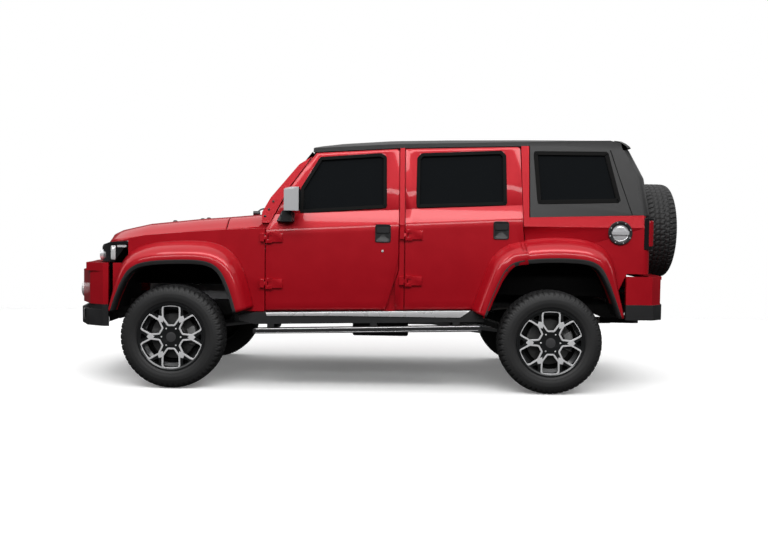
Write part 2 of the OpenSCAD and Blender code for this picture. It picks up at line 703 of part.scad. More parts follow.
module windscreen() {
    d = screen_head - screen_foot;
    function half(z) = side_y(z) - (door_depth - 6) / cos(side_lean) - 2 * fit;
    translate([screen_foot[0], 0, screen_foot[1]]) rotate([0, -atan2(d[1], d[0]), 0])
        linear_extrude(glass_thickness)
            polygon([[0, -half(screen_foot[1])], [norm(d), -half(screen_head[1])],
                     [norm(d), half(screen_head[1])], [0, half(screen_foot[1])]]);
}

module fixed_glass() {
    color(smoke_glass) on_car() {
        windscreen();
        both_sides() leaning_plate(10, 10 + glass_thickness) polygon(leaned(quarter_window()));
    }
}

module door_glass(points) {
    leaning_plate(14, 14 + glass_thickness) polygon(leaned(points));
}

// ---- doors ----

// A skin layer over a thicker inner body, drawn in to close inside the door opening
module door(lower, upper, window) {
    inset = 54;
    difference() {
        union() {
            side_plate(half_body - skin_depth, half_body) polygon(lower(0));
            side_plate(half_body - door_depth, half_body - skin_depth + 1) polygon(lower(inset));
            leaning_plate(0, skin_depth) polygon(leaned(upper(0)));
            leaning_plate(skin_depth - 1, door_depth - 24) polygon(leaned(upper(inset)));
            leaning_plate(skin_depth - 1, door_depth) intersection() {
                polygon(leaned(upper(inset)));
                translate([0, -40]) square([5000, 100]);
            }
        }
        leaning_plate(-5, door_depth + 5) polygon(leaned(window));
    }
}

module front_door() {
    color(red) {
        door(function(i) front_door_lower(i), function(i) front_door_upper(i, i == 0 ? 10 : 0),
             front_window());
        for (z = [772, 1107]) door_hinge(door_f_front + hinge_in, z);
        translate([1466, -half_body - 6, 1082]) cube([118, 7, 134]);
    }
}

module rear_door() {
    color(red) {
        door(function(i) rear_door_lower(i), function(i) rear_door_upper(i, i == 0 ? 12 : 0),
             rear_window());
        for (z = [806, 1140]) door_hinge(door_r_front + hinge_in, z);
        translate([rear_axle_x - 423, -half_body - 6, 1116]) cube([118, 7, 134]);
        intersection() {
            flare(arch_rear, widths_rear, rear_axle_x, half_body + fit);
            translate([door_cut_x - 1400, -1100, sill_z(2200)]) cube([1400, 400, 700]);
        }
    }
}

module mirror_head() {
    color(alloy) {
        hull() {
            translate([826, -1044, 1302]) cube([50, 4, 150]);
            translate([820, -900, 1302]) cube([104, 4, 168]);
            translate([880, -1040, 1302]) cube([50, 4, 168]);
        }
        translate([800, -940, 1240]) cube([70, 60, 63]);
        leaning_plate(-60, -fit) polygon(leaned([[756, 1218], [880, 1222], [880, 1286], [790, 1286]]));
        translate([790, -940, 1225]) cube([84, 60, 50]);
    }
}

// ---- tailgate and spare ----

gate_top = 1772 + rise;
gate_hinge_x = gate_rear + hinge_out;
gate_hinge_y = gate_half + 18;

module tailgate() {
    color(red) on_car() {
        difference() {
            union() {
                gate_slice(gate_foot, 1300 - gate_foot, 0);
                hull() {
                    gate_slice(1300, 3, 0);
                    gate_slice(1573 + rise, 3, 38);
                }
                hull() {
                    gate_slice(1573 + rise, 3, 38);
                    gate_slice(gate_top - 3, 3, 128);
                }
            }
            gate_window();
        }
        // carrier for the spare wheel, with its hub
        translate([gate_rear - 1, -150, spare_z - 150]) cube([50, 300, 300]);
        translate([gate_rear, 0, spare_z]) rotate([0, 90, 0]) {
            cylinder(r = 78, h = spare_x + hub_face - fit - gate_rear);
            cylinder(r = hub_bore - 0.6, h = spare_x + hub_face + 26 - gate_rear);
        }
        for (z = [960, 1230]) gate_strap(z);
    }
}

module gate_slice(z, h, forward) {
    half = gate_half - max(0, z - 1300) * tan(side_lean);
    translate([gate_rear - gate_depth - forward, -half, z]) cube([gate_depth, 2 * half, h]);
}

module gate_window() {
    hull() {
        translate([gate_rear - 120, -560, 1360]) cube([200, 1120, 2]);
        translate([gate_rear - 260, -520, 1700 + rise]) cube([300, 1040, 2]);
    }
}

// Strip of the pane between two heights, each with how far the gate leans forward there
module gate_pane(low, high, low_lean, high_lean) {
    function half(z) = 560 - 40 * (z - 1362) / (338 + rise) - fit;
    inset = gate_rear - 30;
    hull() {
        translate([inset - low_lean, -half(low), low]) cube([glass_thickness, 2 * half(low), 1]);
        translate([inset - high_lean, -half(high), high - 1])
            cube([glass_thickness, 2 * half(high), 1]);
    }
}

module gate_strap(z) {
    for (end = [-40, 14]) difference() {
        union() {
            translate([gate_hinge_x, gate_hinge_y, z + end]) cylinder(r = 10, h = 26);
            translate([gate_rear + 4, gate_hinge_y - 60, z + end]) cube([22, 60, 26]);
        }
        translate([gate_hinge_x, gate_hinge_y, z + end - 1]) cylinder(r = 5 + fit, h = 28);
    }
    translate([gate_rear - 1, gate_half - 160, z - 30]) cube([27, 140, 60]);
}

module gate_bracket(z) {
    translate([gate_hinge_x, gate_hinge_y, z - 40]) cylinder(r = 5, h = 80);
    translate([gate_hinge_x, gate_hinge_y, z - 13]) cylinder(r = 10, h = 26);
    translate([gate_rear - 7, gate_half + shut_gap + 1, z - 13]) cube([33, 35, 26]);
}

module tailgate_glass() {
    color(smoke_glass) on_car() {
        gate_pane(1361, 1574 + rise, 9, 38);
        gate_pane(1573 + rise, 1699 + rise, 38, 94);
    }
}

spare_x = tail_x - tyre_width / 2;
module spare_wheel() {
    on_car() translate([spare_x, 0, spare_z]) rotate([0, 0, 90]) {
        tyre();
        rim();
    }
}

// ---- running gear ----

kingpin_y = wheel_y - 62;
hub_out = wheel_y - kingpin_y + hub_face;
joint_drop = 105;

// Hub carrier on upright ball pins, with hub, brake disc, caliper and steering arm
module knuckle() {
    color(steel_black) translate([0, -kingpin_y, wheel_z]) {
        translate([0, 0, -joint_drop]) cylinder(r = 17, h = 2 * joint_drop);
        rotate([90, 0, 0]) {
            cylinder(r = 52, h = 50);
            cylinder(r = 40, h = hub_out - 20);
            translate([0, 0, hub_out - 45]) cylinder(r = 150, h = 14);
            translate([0, 0, hub_out - 32]) cylinder(r = 78, h = 32 - fit);
            cylinder(r = hub_bore - 0.6, h = hub_out + 26);
        }
        difference() {
            translate([110, -hub_out + 8, -55]) cube([60, 62, 110]);
            translate([100, -hub_out + 29, -60]) cube([52, 20, 120]);
        }
        translate([0, -30, -16]) cube([130, 24, 32]);
        translate([100, -hub_out + 60, -16]) cube([30, 50, 32]);
        translate([0, -10, -72]) cube([120, 22, 16]);
    }
}

module front_suspension() {
    low = wheel_z - joint_drop - fit;
    high = wheel_z + joint_drop + fit;
    frame_low = 500 - fit;
    damper_y = rail_offset + rail_width / 2 + fit + 42;
    color(steel_black) on_car() {
        both_sides() {
            for (dx = [-130, 130]) hull() {
                translate([dx, -rail_offset + 20, low - 24]) cylinder(r = 20, h = 24, $fn = 24);
                translate([0, -kingpin_y, low - 24]) cylinder(r = 22, h = 24, $fn = 24);
            }
            for (dx = [-90, 90]) hull() {
                translate([dx, -rail_offset + 20, high]) cylinder(r = 12, h = 16, $fn = 24);
                translate([0, -kingpin_y, high]) cylinder(r = 18, h = 16, $fn = 24);
            }
            translate([-160, -rail_offset, low - 24]) cube([320, 60, 40]);
            for (x = [-130, 70]) translate([x, -rail_offset - 4, low]) cube([60, 34, frame_low - low]);
            translate([-95, -damper_y - 20, low - 22]) cube([190, 40, 20]);
            translate([0, -damper_y, low - 3]) cylinder(r = 42, h = 420);
            translate([0, -300, wheel_z]) rotate([90, 0, 0]) cylinder(r = 17, h = kingpin_y - 330);
            translate([112, -rail_offset + 60, wheel_z - 64]) rotate([90, 0, 0])
                cylinder(r = 9, h = kingpin_y - rail_offset - 40);
        }
        translate([-50, -rail_offset + 20, low - 24]) cube([100, 2 * rail_offset - 40, 60]);
        translate([-90, -120, wheel_z - 90]) cube([180, 240, 180]);
        translate([0, -305, wheel_z]) rotate([-90, 0, 0]) cylinder(r = 40, h = 610);
        translate([88, -rail_offset + 40, wheel_z - 82]) cube([48, 2 * rail_offset - 80, 36]);
    }
}

module rear_axle() {
    spring_top = 590 - fit - wheel_z;
    color(steel_black) on_car() translate([rear_axle_x, 0, wheel_z]) {
        rotate([90, 0, 0]) cylinder(r = axle_radius, h = 2 * wheel_y - 80, center = true);
        difference() {
            sphere(r = 140);
            translate([-200, -200, -200]) cube([400, 400, 72]);
        }
        translate([-210, 0, 0]) rotate([0, 90, 0]) cylinder(r = 52, h = 120);
        both_sides() {
            translate([0, -wheel_y - hub_face, 0]) rotate([-90, 0, 0]) {
                translate([0, 0, 31]) cylinder(r = 150, h = 14);
                translate([0, 0, fit]) cylinder(r = 78, h = 32);
                translate([0, 0, -26]) cylinder(r = hub_bore - 0.6, h = 120);
            }
            translate([0, -rail_offset - 25, 30]) cylinder(r = 55, h = spring_top - 30);
            hull() {
                translate([-30, -560, -50]) cube([40, 40, 50]);
                translate([-560, -rail_offset - 90, 120]) cube([40, 40, 40]);
            }
            hull() {
                translate([40, -600, -20]) cylinder(r = 24, h = 20, $fn = 24);
                translate([120, -560, 250]) cylinder(r = 24, h = 20, $fn = 24);
            }
        }
    }
}

module driveline() {
    pinion_x = rear_axle_x - 210;
    color([0.45, 0.45, 0.46]) on_car() {
        hull() {
            translate([320 + fit, -140, 420]) cube([10, 280, 310]);
            translate([900, -90, 440]) cube([10, 180, 150]);
        }
        translate([900, -190, 430]) cube([260, 330, 150]);
        translate([1158, 60, 500]) rotate([0, 90, 0]) cylinder(r = 44, h = 40);
        hull() {
            translate([1190, 60, 500]) sphere(r = 34, $fn = 20);
            translate([pinion_x - 34.4, 0, wheel_z]) sphere(r = 34, $fn = 20);
        }
        hull() {
            translate([890, -150, 480]) sphere(r = 26, $fn = 20);
            translate([90 + 26.3, -60, wheel_z]) sphere(r = 26, $fn = 20);
        }
    }
}

module engine_block() {
    color([0.35, 0.35, 0.36]) on_car() translate([-330, -290, engine_z]) cube([650, 580, 470]);
}

silencer_top = 500 - fit;
function exhaust_route() = [[400, 260, 430], [1250, 280, 430], [1500, 230, 440], [1900, 230, 440],
    [2150, 240, 500], [rear_axle_x - 160, 250, 545], [rear_axle_x + 160, 250, 545],
    [rear_axle_x + 420, 250, 430], [rear_axle_x + 700, 300, 430]];

module exhaust() {
    route = exhaust_route();
    color([0.5, 0.5, 0.5]) on_car() {
        for (i = [0:len(route) - 2]) if (i != 2) hull() {
            translate(route[i]) sphere(r = 28, $fn = 14);
            translate(route[i + 1]) sphere(r = 28, $fn = 14);
        }
        translate([1480, 130, 385]) cube([440, 180, silencer_top - 385]);
    }
}

module fuel_tank() {
    color(black_plastic) on_car() translate([1288 + fit, -345, 340])
        cube([1725 - 1288 - 2 * fit, 330, 190]);
}

// ---- interior ----

wheel_tilt = 28;
steer_at = [1010, -370, 1085];

module dashboard() {
    color(grey_trim) on_car() {
        translate([590 + fit, -735, 930]) cube([230, 1470, 210]);
        translate([820, -140, 780]) cube([90, 280, 350]);
        translate([780, steer_at[1] - 190, 1120]) cube([120, 380, 60]);
        translate([1420, -100, floor_z + 16 + fit]) cube([340, 200, 230]);
        translate(steer_at) rotate([0, -90 + wheel_tilt, 0]) {
            cylinder(r = 34, h = 210);
            rotate_extrude() translate([172, 0]) circle(r = 15, $fn = 24);
            translate([0, 0, -14]) cylinder(r = 62, h = 30);
            for (a = [0, 90, 180]) rotate(a) translate([40, -20, -8]) cube([126, 40, 16]);
        }
    }
}

module seat(x, y, w, base) {
    foot = floor_z + 16 + fit;
    translate([x, y - w / 2, base]) cube([520, w, 150]);
    translate([x + 60, y - w / 2 + 40, foot]) cube([240, w - 80, base - foot + 1]);
    translate([x + 420, y - w / 2, base + 100]) rotate([0, 14, 0]) cube([110, w, 600]);
    translate([x + 576, y - 125, base + 672]) rotate([0, 14, 0]) cube([80, 250, 160]);
}

module seats() {
    color(grey_trim) on_car() {
        seat(1140, -370, 480, 760);
        seat(1140, 370, 480, 760);
        seat(1860, 0, 1240, 770);
    }
}

module side_steps() {
    rail_face = rail_offset + rail_width / 2;
    color(steel_black) on_car() both_sides() {
        // plastic cladding over the sill
        side_plate(half_body - fender_depth, half_body + 30)
            polygon([[480, 540], [600, sill_z(600) - 12], [2250, sill_z(2250) - 12],
                     [rear_axle_x - 480, cladding_z(2260)], [600, cladding_z(600)], [490, 500]]);
        side_plate(half_body + 6, half_body + 116)
            polygon([[600, step_z(600) - 34], [600, step_z(600)], [2160, step_z(2160)],
                     [2240, step_z(2240) - 10], [2240, step_z(2240) - 50], [2160, step_z(2160) - 38]]);
        for (x = [690, 1440, 2040]) {
            translate([x, -half_body - 40, step_z(x) - 30])
                cube([50, half_body + 40 - rail_face - 10, 24]);
            translate([x, -rail_face - 22, step_z(x) - 30]) cube([50, 22 - fit, 90]);
            translate([x, -half_body - 29, step_z(x) - 30]) cube([50, 30, 60]);
        }
    }
}

// ---- the nodes ----

ladder_frame();
body_tub();
body_sides();
windscreen_frame();
hard_top();
front_fenders();
fender_flares();
grille_panel();
front_bumper();
rear_bumper();
lamps();
fixed_glass();
side_steps();
engine_block();
driveline();
front_suspension();
rear_axle();
exhaust();
fuel_tank();
dashboard();
seats();
bonnet();
on_car() front_door();  // front_left_door
on_car() mirror([0, 1, 0]) front_door();  // front_right_door
on_car() rear_door();  // rear_left_door
on_car() mirror([0, 1, 0]) rear_door();  // rear_right_door
color(smoke_glass) on_car() door_glass(front_window());  // front_left_glass
color(smoke_glass) on_car() mirror([0, 1, 0]) door_glass(front_window());  // front_right_glass
color(smoke_glass) on_car() door_glass(rear_window());  // rear_left_glass
color(smoke_glass) on_car() mirror([0, 1, 0]) door_glass(rear_window());  // rear_right_glass
on_car() mirror_head();  // left_mirror
on_car() mirror([0, 1, 0]) mirror_head();  // right_mirror
tailgate();
tailgate_glass();
spare_wheel();
on_car() wheel_at(0, 1) tyre();  // front_left_tyre
on_car() wheel_at(0, 1) rim();  // front_left_rim
on_car() wheel_at(0, -1) tyre();  // front_right_tyre
on_car() wheel_at(0, -1) rim();  // front_right_rim
on_car() wheel_at(rear_axle_x, 1) tyre();  // rear_left_tyre
on_car() wheel_at(rear_axle_x, 1) rim();  // rear_left_rim
on_car() wheel_at(rear_axle_x, -1) tyre();  // rear_right_tyre
on_car() wheel_at(rear_axle_x, -1) rim();  // rear_right_rim
on_car() knuckle();  // left_knuckle
on_car() mirror([0, 1, 0]) knuckle();  // right_knuckle
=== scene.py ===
import bpy, bmesh, json, math
import numpy as np
from mathutils import Matrix, Vector

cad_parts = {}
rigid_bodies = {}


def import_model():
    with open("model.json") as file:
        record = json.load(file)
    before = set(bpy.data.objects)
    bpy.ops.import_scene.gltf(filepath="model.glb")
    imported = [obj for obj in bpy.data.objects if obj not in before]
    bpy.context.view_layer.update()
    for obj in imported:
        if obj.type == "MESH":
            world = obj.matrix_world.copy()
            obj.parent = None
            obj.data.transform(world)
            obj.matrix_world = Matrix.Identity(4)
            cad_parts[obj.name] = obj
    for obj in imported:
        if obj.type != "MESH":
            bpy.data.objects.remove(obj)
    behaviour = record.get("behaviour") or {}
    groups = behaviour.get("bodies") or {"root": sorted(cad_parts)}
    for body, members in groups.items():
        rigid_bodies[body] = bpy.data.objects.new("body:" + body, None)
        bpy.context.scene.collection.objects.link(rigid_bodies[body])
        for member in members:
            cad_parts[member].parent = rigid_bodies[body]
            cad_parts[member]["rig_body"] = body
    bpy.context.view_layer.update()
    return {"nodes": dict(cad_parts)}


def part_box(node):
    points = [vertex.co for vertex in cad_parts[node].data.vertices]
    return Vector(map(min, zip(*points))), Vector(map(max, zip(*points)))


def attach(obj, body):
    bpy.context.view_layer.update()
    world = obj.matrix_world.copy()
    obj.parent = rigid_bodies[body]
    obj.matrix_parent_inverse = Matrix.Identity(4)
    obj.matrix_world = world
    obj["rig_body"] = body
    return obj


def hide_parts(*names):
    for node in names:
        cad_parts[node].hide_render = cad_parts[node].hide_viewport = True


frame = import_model()
nodes = frame["nodes"]
scene = bpy.context.scene

# The studio: a pale floor that glows a little, softboxes overhead and beside the car, and a long
# strip that lights the belt line, in a dim room with a white backdrop. The camera stands about
# 6.5 m off the left side at chest height.
low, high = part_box("front_left_tyre")
front_axle = (low.x + high.x) / 2
wheel_radius = (high.z - low.z) / 2
low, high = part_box("rear_left_tyre")
rear_axle = (low.x + high.x) / 2
wheelbase = rear_axle - front_axle

yaw, pitch, roll = -0.01419, 0.04686, 0.01435
ahead = Vector((math.sin(yaw), math.cos(yaw), 0))
right = Vector((math.cos(yaw), -math.sin(yaw), 0))
up = Vector((0, 0, 1))
ahead, up = (ahead * math.cos(pitch) - up * math.sin(pitch),
             up * math.cos(pitch) + ahead * math.sin(pitch))
right, up = (right * math.cos(roll) + up * math.sin(roll),
             up * math.cos(roll) - right * math.sin(roll))
camera = bpy.data.objects.new("camera", bpy.data.cameras.new("camera"))
stand_at = Matrix.Translation((front_axle + 1.6286, -7.396, 1.1974))
camera.matrix_world = stand_at @ Matrix((right, up, -ahead)).transposed().to_4x4()
camera.data.sensor_width, camera.data.lens = 36.0, 36 * 902 / 768
camera.data.clip_end = 200
scene.collection.objects.link(camera)
scene.camera = camera
scene.view_settings.view_transform = "Standard"

room_light, backdrop = 0.04, 1.0
world = bpy.data.worlds.new("surround")
world.use_nodes = True
tree = world.node_tree
room = tree.nodes["Background"]
room.inputs["Color"].default_value = (1, 1, 1, 1)
seen = tree.nodes.new("ShaderNodeLightPath")
level = tree.nodes.new("ShaderNodeMapRange")
level.inputs["To Min"].default_value = room_light
level.inputs["To Max"].default_value = backdrop
tree.links.new(seen.outputs["Is Camera Ray"], level.inputs["Value"])
tree.links.new(level.outputs["Result"], room.inputs["Strength"])
scene.world = world


def softbox(name, place, target, size, power):
    """A flat rectangular light at a place, turned to face a target."""
    lamp = bpy.data.lights.new(name, "AREA")
    lamp.shape, lamp.size, lamp.size_y, lamp.energy = "RECTANGLE", size[0], size[1], power
    stand = bpy.data.objects.new(name, lamp)
    stand.rotation_mode = "QUATERNION"
    stand.location = place
    stand.rotation_quaternion = (Vector(target) - Vector(place)).to_track_quat("-Z", "Y")
    scene.collection.objects.link(stand)


softbox("overhead", (0, 0.5, 6.0), (0, 0.5, 0), (20, 15), 1200)
softbox("side_panel", (0.4, -6.2, 6.0), (0.3, -0.8, 0.8), (9, 2.0), 380)
softbox("belt_strip", (0.4, -7.2, 3.25), (0.4, -0.8, 1.23), (10, 0.5), 130)
softbox("front_fill", (-7.5, -2.0, 3.4), (-1, 0, 0.7), (3, 2.5), 45)
softbox("rear_fill", (7.5, 1.0, 3.4), (1, 0, 0.8), (3, 2.5), 45)


def studio_sheet(name, corners, colour, glow):
    """A flat sheet of the studio that lights nothing and keeps out of reflections: part of its
    brightness is its own."""
    sheet = bpy.data.meshes.new(name)
    sheet.from_pydata(corners, [], [(0, 1, 2, 3)])
    stand = bpy.data.objects.new(name, sheet)
    scene.collection.objects.link(stand)
    stand.visible_glossy = stand.visible_diffuse = False
    white = bpy.data.materials.new(name)
    white.use_nodes = True
    shader = white.node_tree.nodes["Principled BSDF"]
    shader.inputs["Base Color"].default_value = (colour, colour, colour, 1)
    shader.inputs["Roughness"].default_value = 0.9
    shader.inputs["Specular IOR Level"].default_value = 0.0
    shader.inputs["Emission Color"].default_value = (1, 1, 1, 1)
    shader.inputs["Emission Strength"].default_value = glow
    sheet.materials.append(white)
    return stand


floor = studio_sheet("floor", [(-6, -5, 0), (6, -5, 0), (6, 5, 0), (-6, 5, 0)], 0.95, 0.15)


# Painted steel panels. Pressed sheet, e-coated, then a deep red metallic base coat under clear
# lacquer; the CAD solids keep their shape and get hemmed, rounded edges.
def finish(name, colour, metallic=0.0, rough=0.5, grain=0.0, grain_scale=400.0, mottle=0.06,
           mottle_scale=9.0, rough_spread=0.05, **sockets):
    """A surface finish: base colour varied by slow noise, fine grain as bump, and roughness that
    wanders a little, all on Object coordinates. sockets are set on the shader itself."""
    material = bpy.data.materials.new(name)
    material.use_nodes = True
    tree = material.node_tree
    shader = tree.nodes["Principled BSDF"]
    place = tree.nodes.new("ShaderNodeTexCoord")
    slow = tree.nodes.new("ShaderNodeTexNoise")
    slow.inputs["Scale"].default_value = mottle_scale
    slow.inputs["Detail"].default_value = 4
    tree.links.new(place.outputs["Object"], slow.inputs["Vector"])
    tint = tree.nodes.new("ShaderNodeValToRGB")
    tint.color_ramp.elements[0].position, tint.color_ramp.elements[1].position = 0.3, 0.7
    tint.color_ramp.elements[0].color = [c * (1 - mottle) for c in colour] + [1]
    tint.color_ramp.elements[1].color = [min(1, c * (1 + mottle)) for c in colour] + [1]
    tree.links.new(slow.outputs["Fac"], tint.inputs["Fac"])
    tree.links.new(tint.outputs["Color"], shader.inputs["Base Color"])
    spread = tree.nodes.new("ShaderNodeMapRange")
    spread.inputs["To Min"].default_value = max(0.0, rough - rough_spread)
    spread.inputs["To Max"].default_value = min(1.0, rough + rough_spread)
    tree.links.new(slow.outputs["Fac"], spread.inputs["Value"])
    tree.links.new(spread.outputs["Result"], shader.inputs["Roughness"])
    if grain:
        fine = tree.nodes.new("ShaderNodeTexNoise")
        fine.inputs["Scale"].default_value = grain_scale
        fine.inputs["Detail"].default_value = 3
        tree.links.new(place.outputs["Object"], fine.inputs["Vector"])
        bump = tree.nodes.new("ShaderNodeBump")
        bump.inputs["Strength"].default_value = grain
        bump.inputs["Distance"].default_value = 0.001
        tree.links.new(fine.outputs["Fac"], bump.inputs["Height"])
        tree.links.new(bump.outputs["Normal"], shader.inputs["Normal"])
    shader.inputs["Metallic"].default_value = metallic
    for socket, value in sockets.items():
        shader.inputs[socket.replace("_", " ")].default_value = value
    return material


def settle(piece, body, sharp=32):
    """Shades a piece smooth between its sharp edges, and fixes it to its body."""
    mesh = piece.data
    mesh.polygons.foreach_set("use_smooth", np.ones(len(mesh.polygons), bool))
    mesh.set_sharp_from_angle(angle=math.radians(sharp))
    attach(piece, body)
    return piece


def softened(node, materials, edge=0.003, choose=None, steps=2, move=None,
             stands_for=None, cut=None):
    """Stands for a CAD node: a merged copy of its mesh with every sharp edge rounded to a
    radius. choose(centres) gives each face its material, move(points) shifts the vertices, and
    stands_for names another node that the copy is for. cut parts the faces at a height."""
    piece = bpy.data.objects.new((stands_for or node) + "_panel", nodes[node].data.copy())
    scene.collection.objects.link(piece)
    mesh = piece.data
    build = bmesh.new()
    build.from_mesh(mesh)
    bmesh.ops.remove_doubles(build, verts=build.verts, dist=2e-5)
    bmesh.ops.dissolve_limit(build, angle_limit=math.radians(0.6), verts=build.verts,
                             edges=build.edges)
    if cut:
        bmesh.ops.bisect_plane(build, geom=build.verts[:] + build.edges[:] + build.faces[:],
                               plane_co=(0, 0, cut), plane_no=(0, 0, 1))
    build.to_mesh(mesh)
    build.free()
    mesh.materials.clear()
    for material in materials:
        mesh.materials.append(material)
    if move is not None:
        points = np.empty(len(mesh.vertices) * 3)
        mesh.vertices.foreach_get("co", points)
        points = move(points.reshape(-1, 3) - [front_axle, 0, 0]) + [front_axle, 0, 0]
        mesh.vertices.foreach_set("co", points.ravel())
    index = np.zeros(len(mesh.polygons), int)
    if choose is not None:
        centres = np.empty(len(mesh.polygons) * 3)
        mesh.polygons.foreach_get("center", centres)
        index = choose(centres.reshape(-1, 3) - [front_axle, 0, 0])
    mesh.polygons.foreach_set("material_index", index.astype(np.int32))
    mesh.update()
    if edge:
        bevel = piece.modifiers.new("rounded", "BEVEL")
        bevel.width, bevel.segments = edge, steps
        bevel.limit_method, bevel.angle_limit = "ANGLE", math.radians(28)
        bevel.use_clamp_overlap = True
    settle(piece, nodes[stands_for or node]["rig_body"])
    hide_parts(stands_for or node)
    return piece


paint = finish("red_paint", (0.42, 0.004, 0.012), metallic=0.25, rough=0.36, mottle=0.03,
               grain=0.03, grain_scale=2600, Coat_Weight=0.5, Coat_Roughness=0.05,
               Specular_IOR_Level=0.25)
trim_black = finish("trim_black", (0.012, 0.012, 0.013), rough=0.48, grain=0.25, grain_scale=1500)


def rake(points):
    """Draws the screen pillars back to the straight raked line that the door follows."""
    line = 0.600 + (points[:, 2] - 1.295) * 0.860
    points[:, 0] = np.where(points[:, 2] > 1.30, np.maximum(points[:, 0], line), points[:, 0])
    return points


for name in ("body_sides", "front_fenders"):
    softened(name, [paint], edge=0.004, move=rake)
softened("windscreen_frame", [paint], edge=0.006, move=rake)
softened("rear_bumper", [paint, trim_black], edge=0.022, steps=4,
         choose=lambda c: c[:, 2] < 0.656, cut=0.656)
softened("front_bumper", [paint, trim_black], edge=0.020, steps=4,
         choose=lambda c: c[:, 2] < 0.600, cut=0.600)

# The underbody and running gear. Welded box-section frame and pressed arms in chassis black,
# a bare cast gearbox case, a dull steel exhaust and a moulded tank.
chassis_black = finish("chassis_black", (0.012, 0.012, 0.012), rough=0.5, grain=0.2,
                       grain_scale=260, mottle=0.25, Specular_IOR_Level=0.25)
cast = finish("cast_alloy", (0.34, 0.34, 0.35), metallic=0.85, rough=0.5, grain=0.5,
              grain_scale=380, mottle=0.15)
# Painted shade: the body tub is made near-black, darker than the chassis black, so that the
# wheel-arch interiors and the underside read as deep shade.
tub_painted_shade = finish("tub_painted_shade_black", (0.005, 0.005, 0.005), rough=0.7, grain=0.3, grain_scale=200,
                   mottle=0.2, Specular_IOR_Level=0.1)
pipe_steel = finish("pipe_steel", (0.30, 0.28, 0.26), metallic=0.9, rough=0.42, grain=0.2,
                    grain_scale=120, mottle=0.2)
for name, part_slot, material, edge in (
        ("ladder_frame", "frame_black", chassis_black, 0.005),
        ("front_suspension", "frame_black", chassis_black, 0.003),
        ("rear_axle", "frame_black", chassis_black, 0.003),
        ("left_knuckle", "frame_black", chassis_black, 0.003),
        ("right_knuckle", "frame_black", chassis_black, 0.003),
        ("body_tub", "tub_grey", tub_painted_shade, 0.004),
        ("driveline", "cast_metal", cast, 0.006),
        ("engine_block", "cast_metal", cast, 0.012),
        ("exhaust", "exhaust_steel", pipe_steel, 0.004),
        ("fuel_tank", "cladding_plastic", trim_black, 0.015)):
    softened(name, [material], edge=edge)


# Tyres. Radial all-terrain rubber, 754 mm over the tread and 250 mm wide, moulded with zigzag
# main grooves, cross slots that run over the shoulders, and fine rings on the sidewall.
def build(name, patches, body, slot_name, materials, hint=None, wall=0.0, edge=0.0, smooth=0,
          sharp=32, steps=2):
    """One mesh from grids of points. A patch is (grid, material index, closed in i, closed in j):
    each grid cell becomes a quad. Points count x from the front axle. With a hint each patch is
    turned to face that way, without one the closed shell is turned outwards. wall thickens a
    sheet inwards, smooth subdivides it and edge rounds its rims."""
    points, faces, index, count = [], [], [], 0
    for grid, material, loop_i, loop_j in patches:
        grid = np.asarray(grid, float)
        ni, nj = grid.shape[:2]
        i = np.arange(ni if loop_i else ni - 1)[:, None]
        j = np.arange(nj if loop_j else nj - 1)[None, :]
        near, far, side = i * nj, (i + 1) % ni * nj, (j + 1) % nj
        quads = np.stack([near + j, far + j, far + side, near + side], -1).reshape(-1, 4)
        flat = grid.reshape(-1, 3)
        if hint is not None:
            a, b, c, d = (flat[quads[:, k]] for k in range(4))
            if (np.cross(c - a, d - b).sum(0) @ np.asarray(hint, float)) < 0:
                quads = quads[:, ::-1]
        points.append(flat + [front_axle, 0, 0])
        faces.append(quads + count)
        index.append(np.full(len(quads), material))
        count += len(flat)
    points, faces, index = map(np.concatenate, (points, faces, index))
    mesh = bpy.data.meshes.new(name)
    mesh.from_pydata(points, [], faces.tolist())
    mesh.polygons.foreach_set("material_index", index.astype(np.int32))
    for material in materials:
        mesh.materials.append(material)
    shell = bmesh.new()
    shell.from_mesh(mesh)
    bmesh.ops.remove_doubles(shell, verts=shell.verts, dist=1e-5)
    bmesh.ops.dissolve_degenerate(shell, edges=shell.edges, dist=1e-6)
    if hint is None:
        bmesh.ops.recalc_face_normals(shell, faces=shell.faces)
    shell.to_mesh(mesh)
    shell.free()
    piece = bpy.data.objects.new(name, mesh)
    scene.collection.objects.link(piece)
    if smooth:
        finer = piece.modifiers.new("smoother", "SUBSURF")
        finer.levels = finer.render_levels = smooth
    if wall:
        sheet = piece.modifiers.new("thickness", "SOLIDIFY")
        sheet.thickness, sheet.offset, sheet.use_even_offset = wall, -1, True
    if edge:
        bevel = piece.modifiers.new("rounded", "BEVEL")
        bevel.width, bevel.segments = edge, steps
        bevel.limit_method, bevel.angle_limit = "ANGLE", math.radians(40)
    return settle(piece, body, sharp)


def turned(profile, centre, out, count, first=0.0, span=None):
    """A profile of (radius, offset) rows carried round an axis through centre. out is the axis,
    and offsets count along it. Returns count x rows points, over a full turn or a span."""
    profile, out = np.asarray(profile, float), np.asarray(out, float)
    across = np.array([0, 1.0, 0]) if abs(out[0]) > 0.5 else np.array([1.0, 0, 0])
    angle = first + (np.arange(count) * 2 * np.pi / count if span is None
                     else np.linspace(0, span, count))
    round_ = np.cos(angle)[:, None] * across + np.sin(angle)[:, None] * [0, 0, 1]
    return (np.asarray(centre) + profile[None, :, :1] * round_[:, None, :]
            + profile[None, :, 1:] * out)


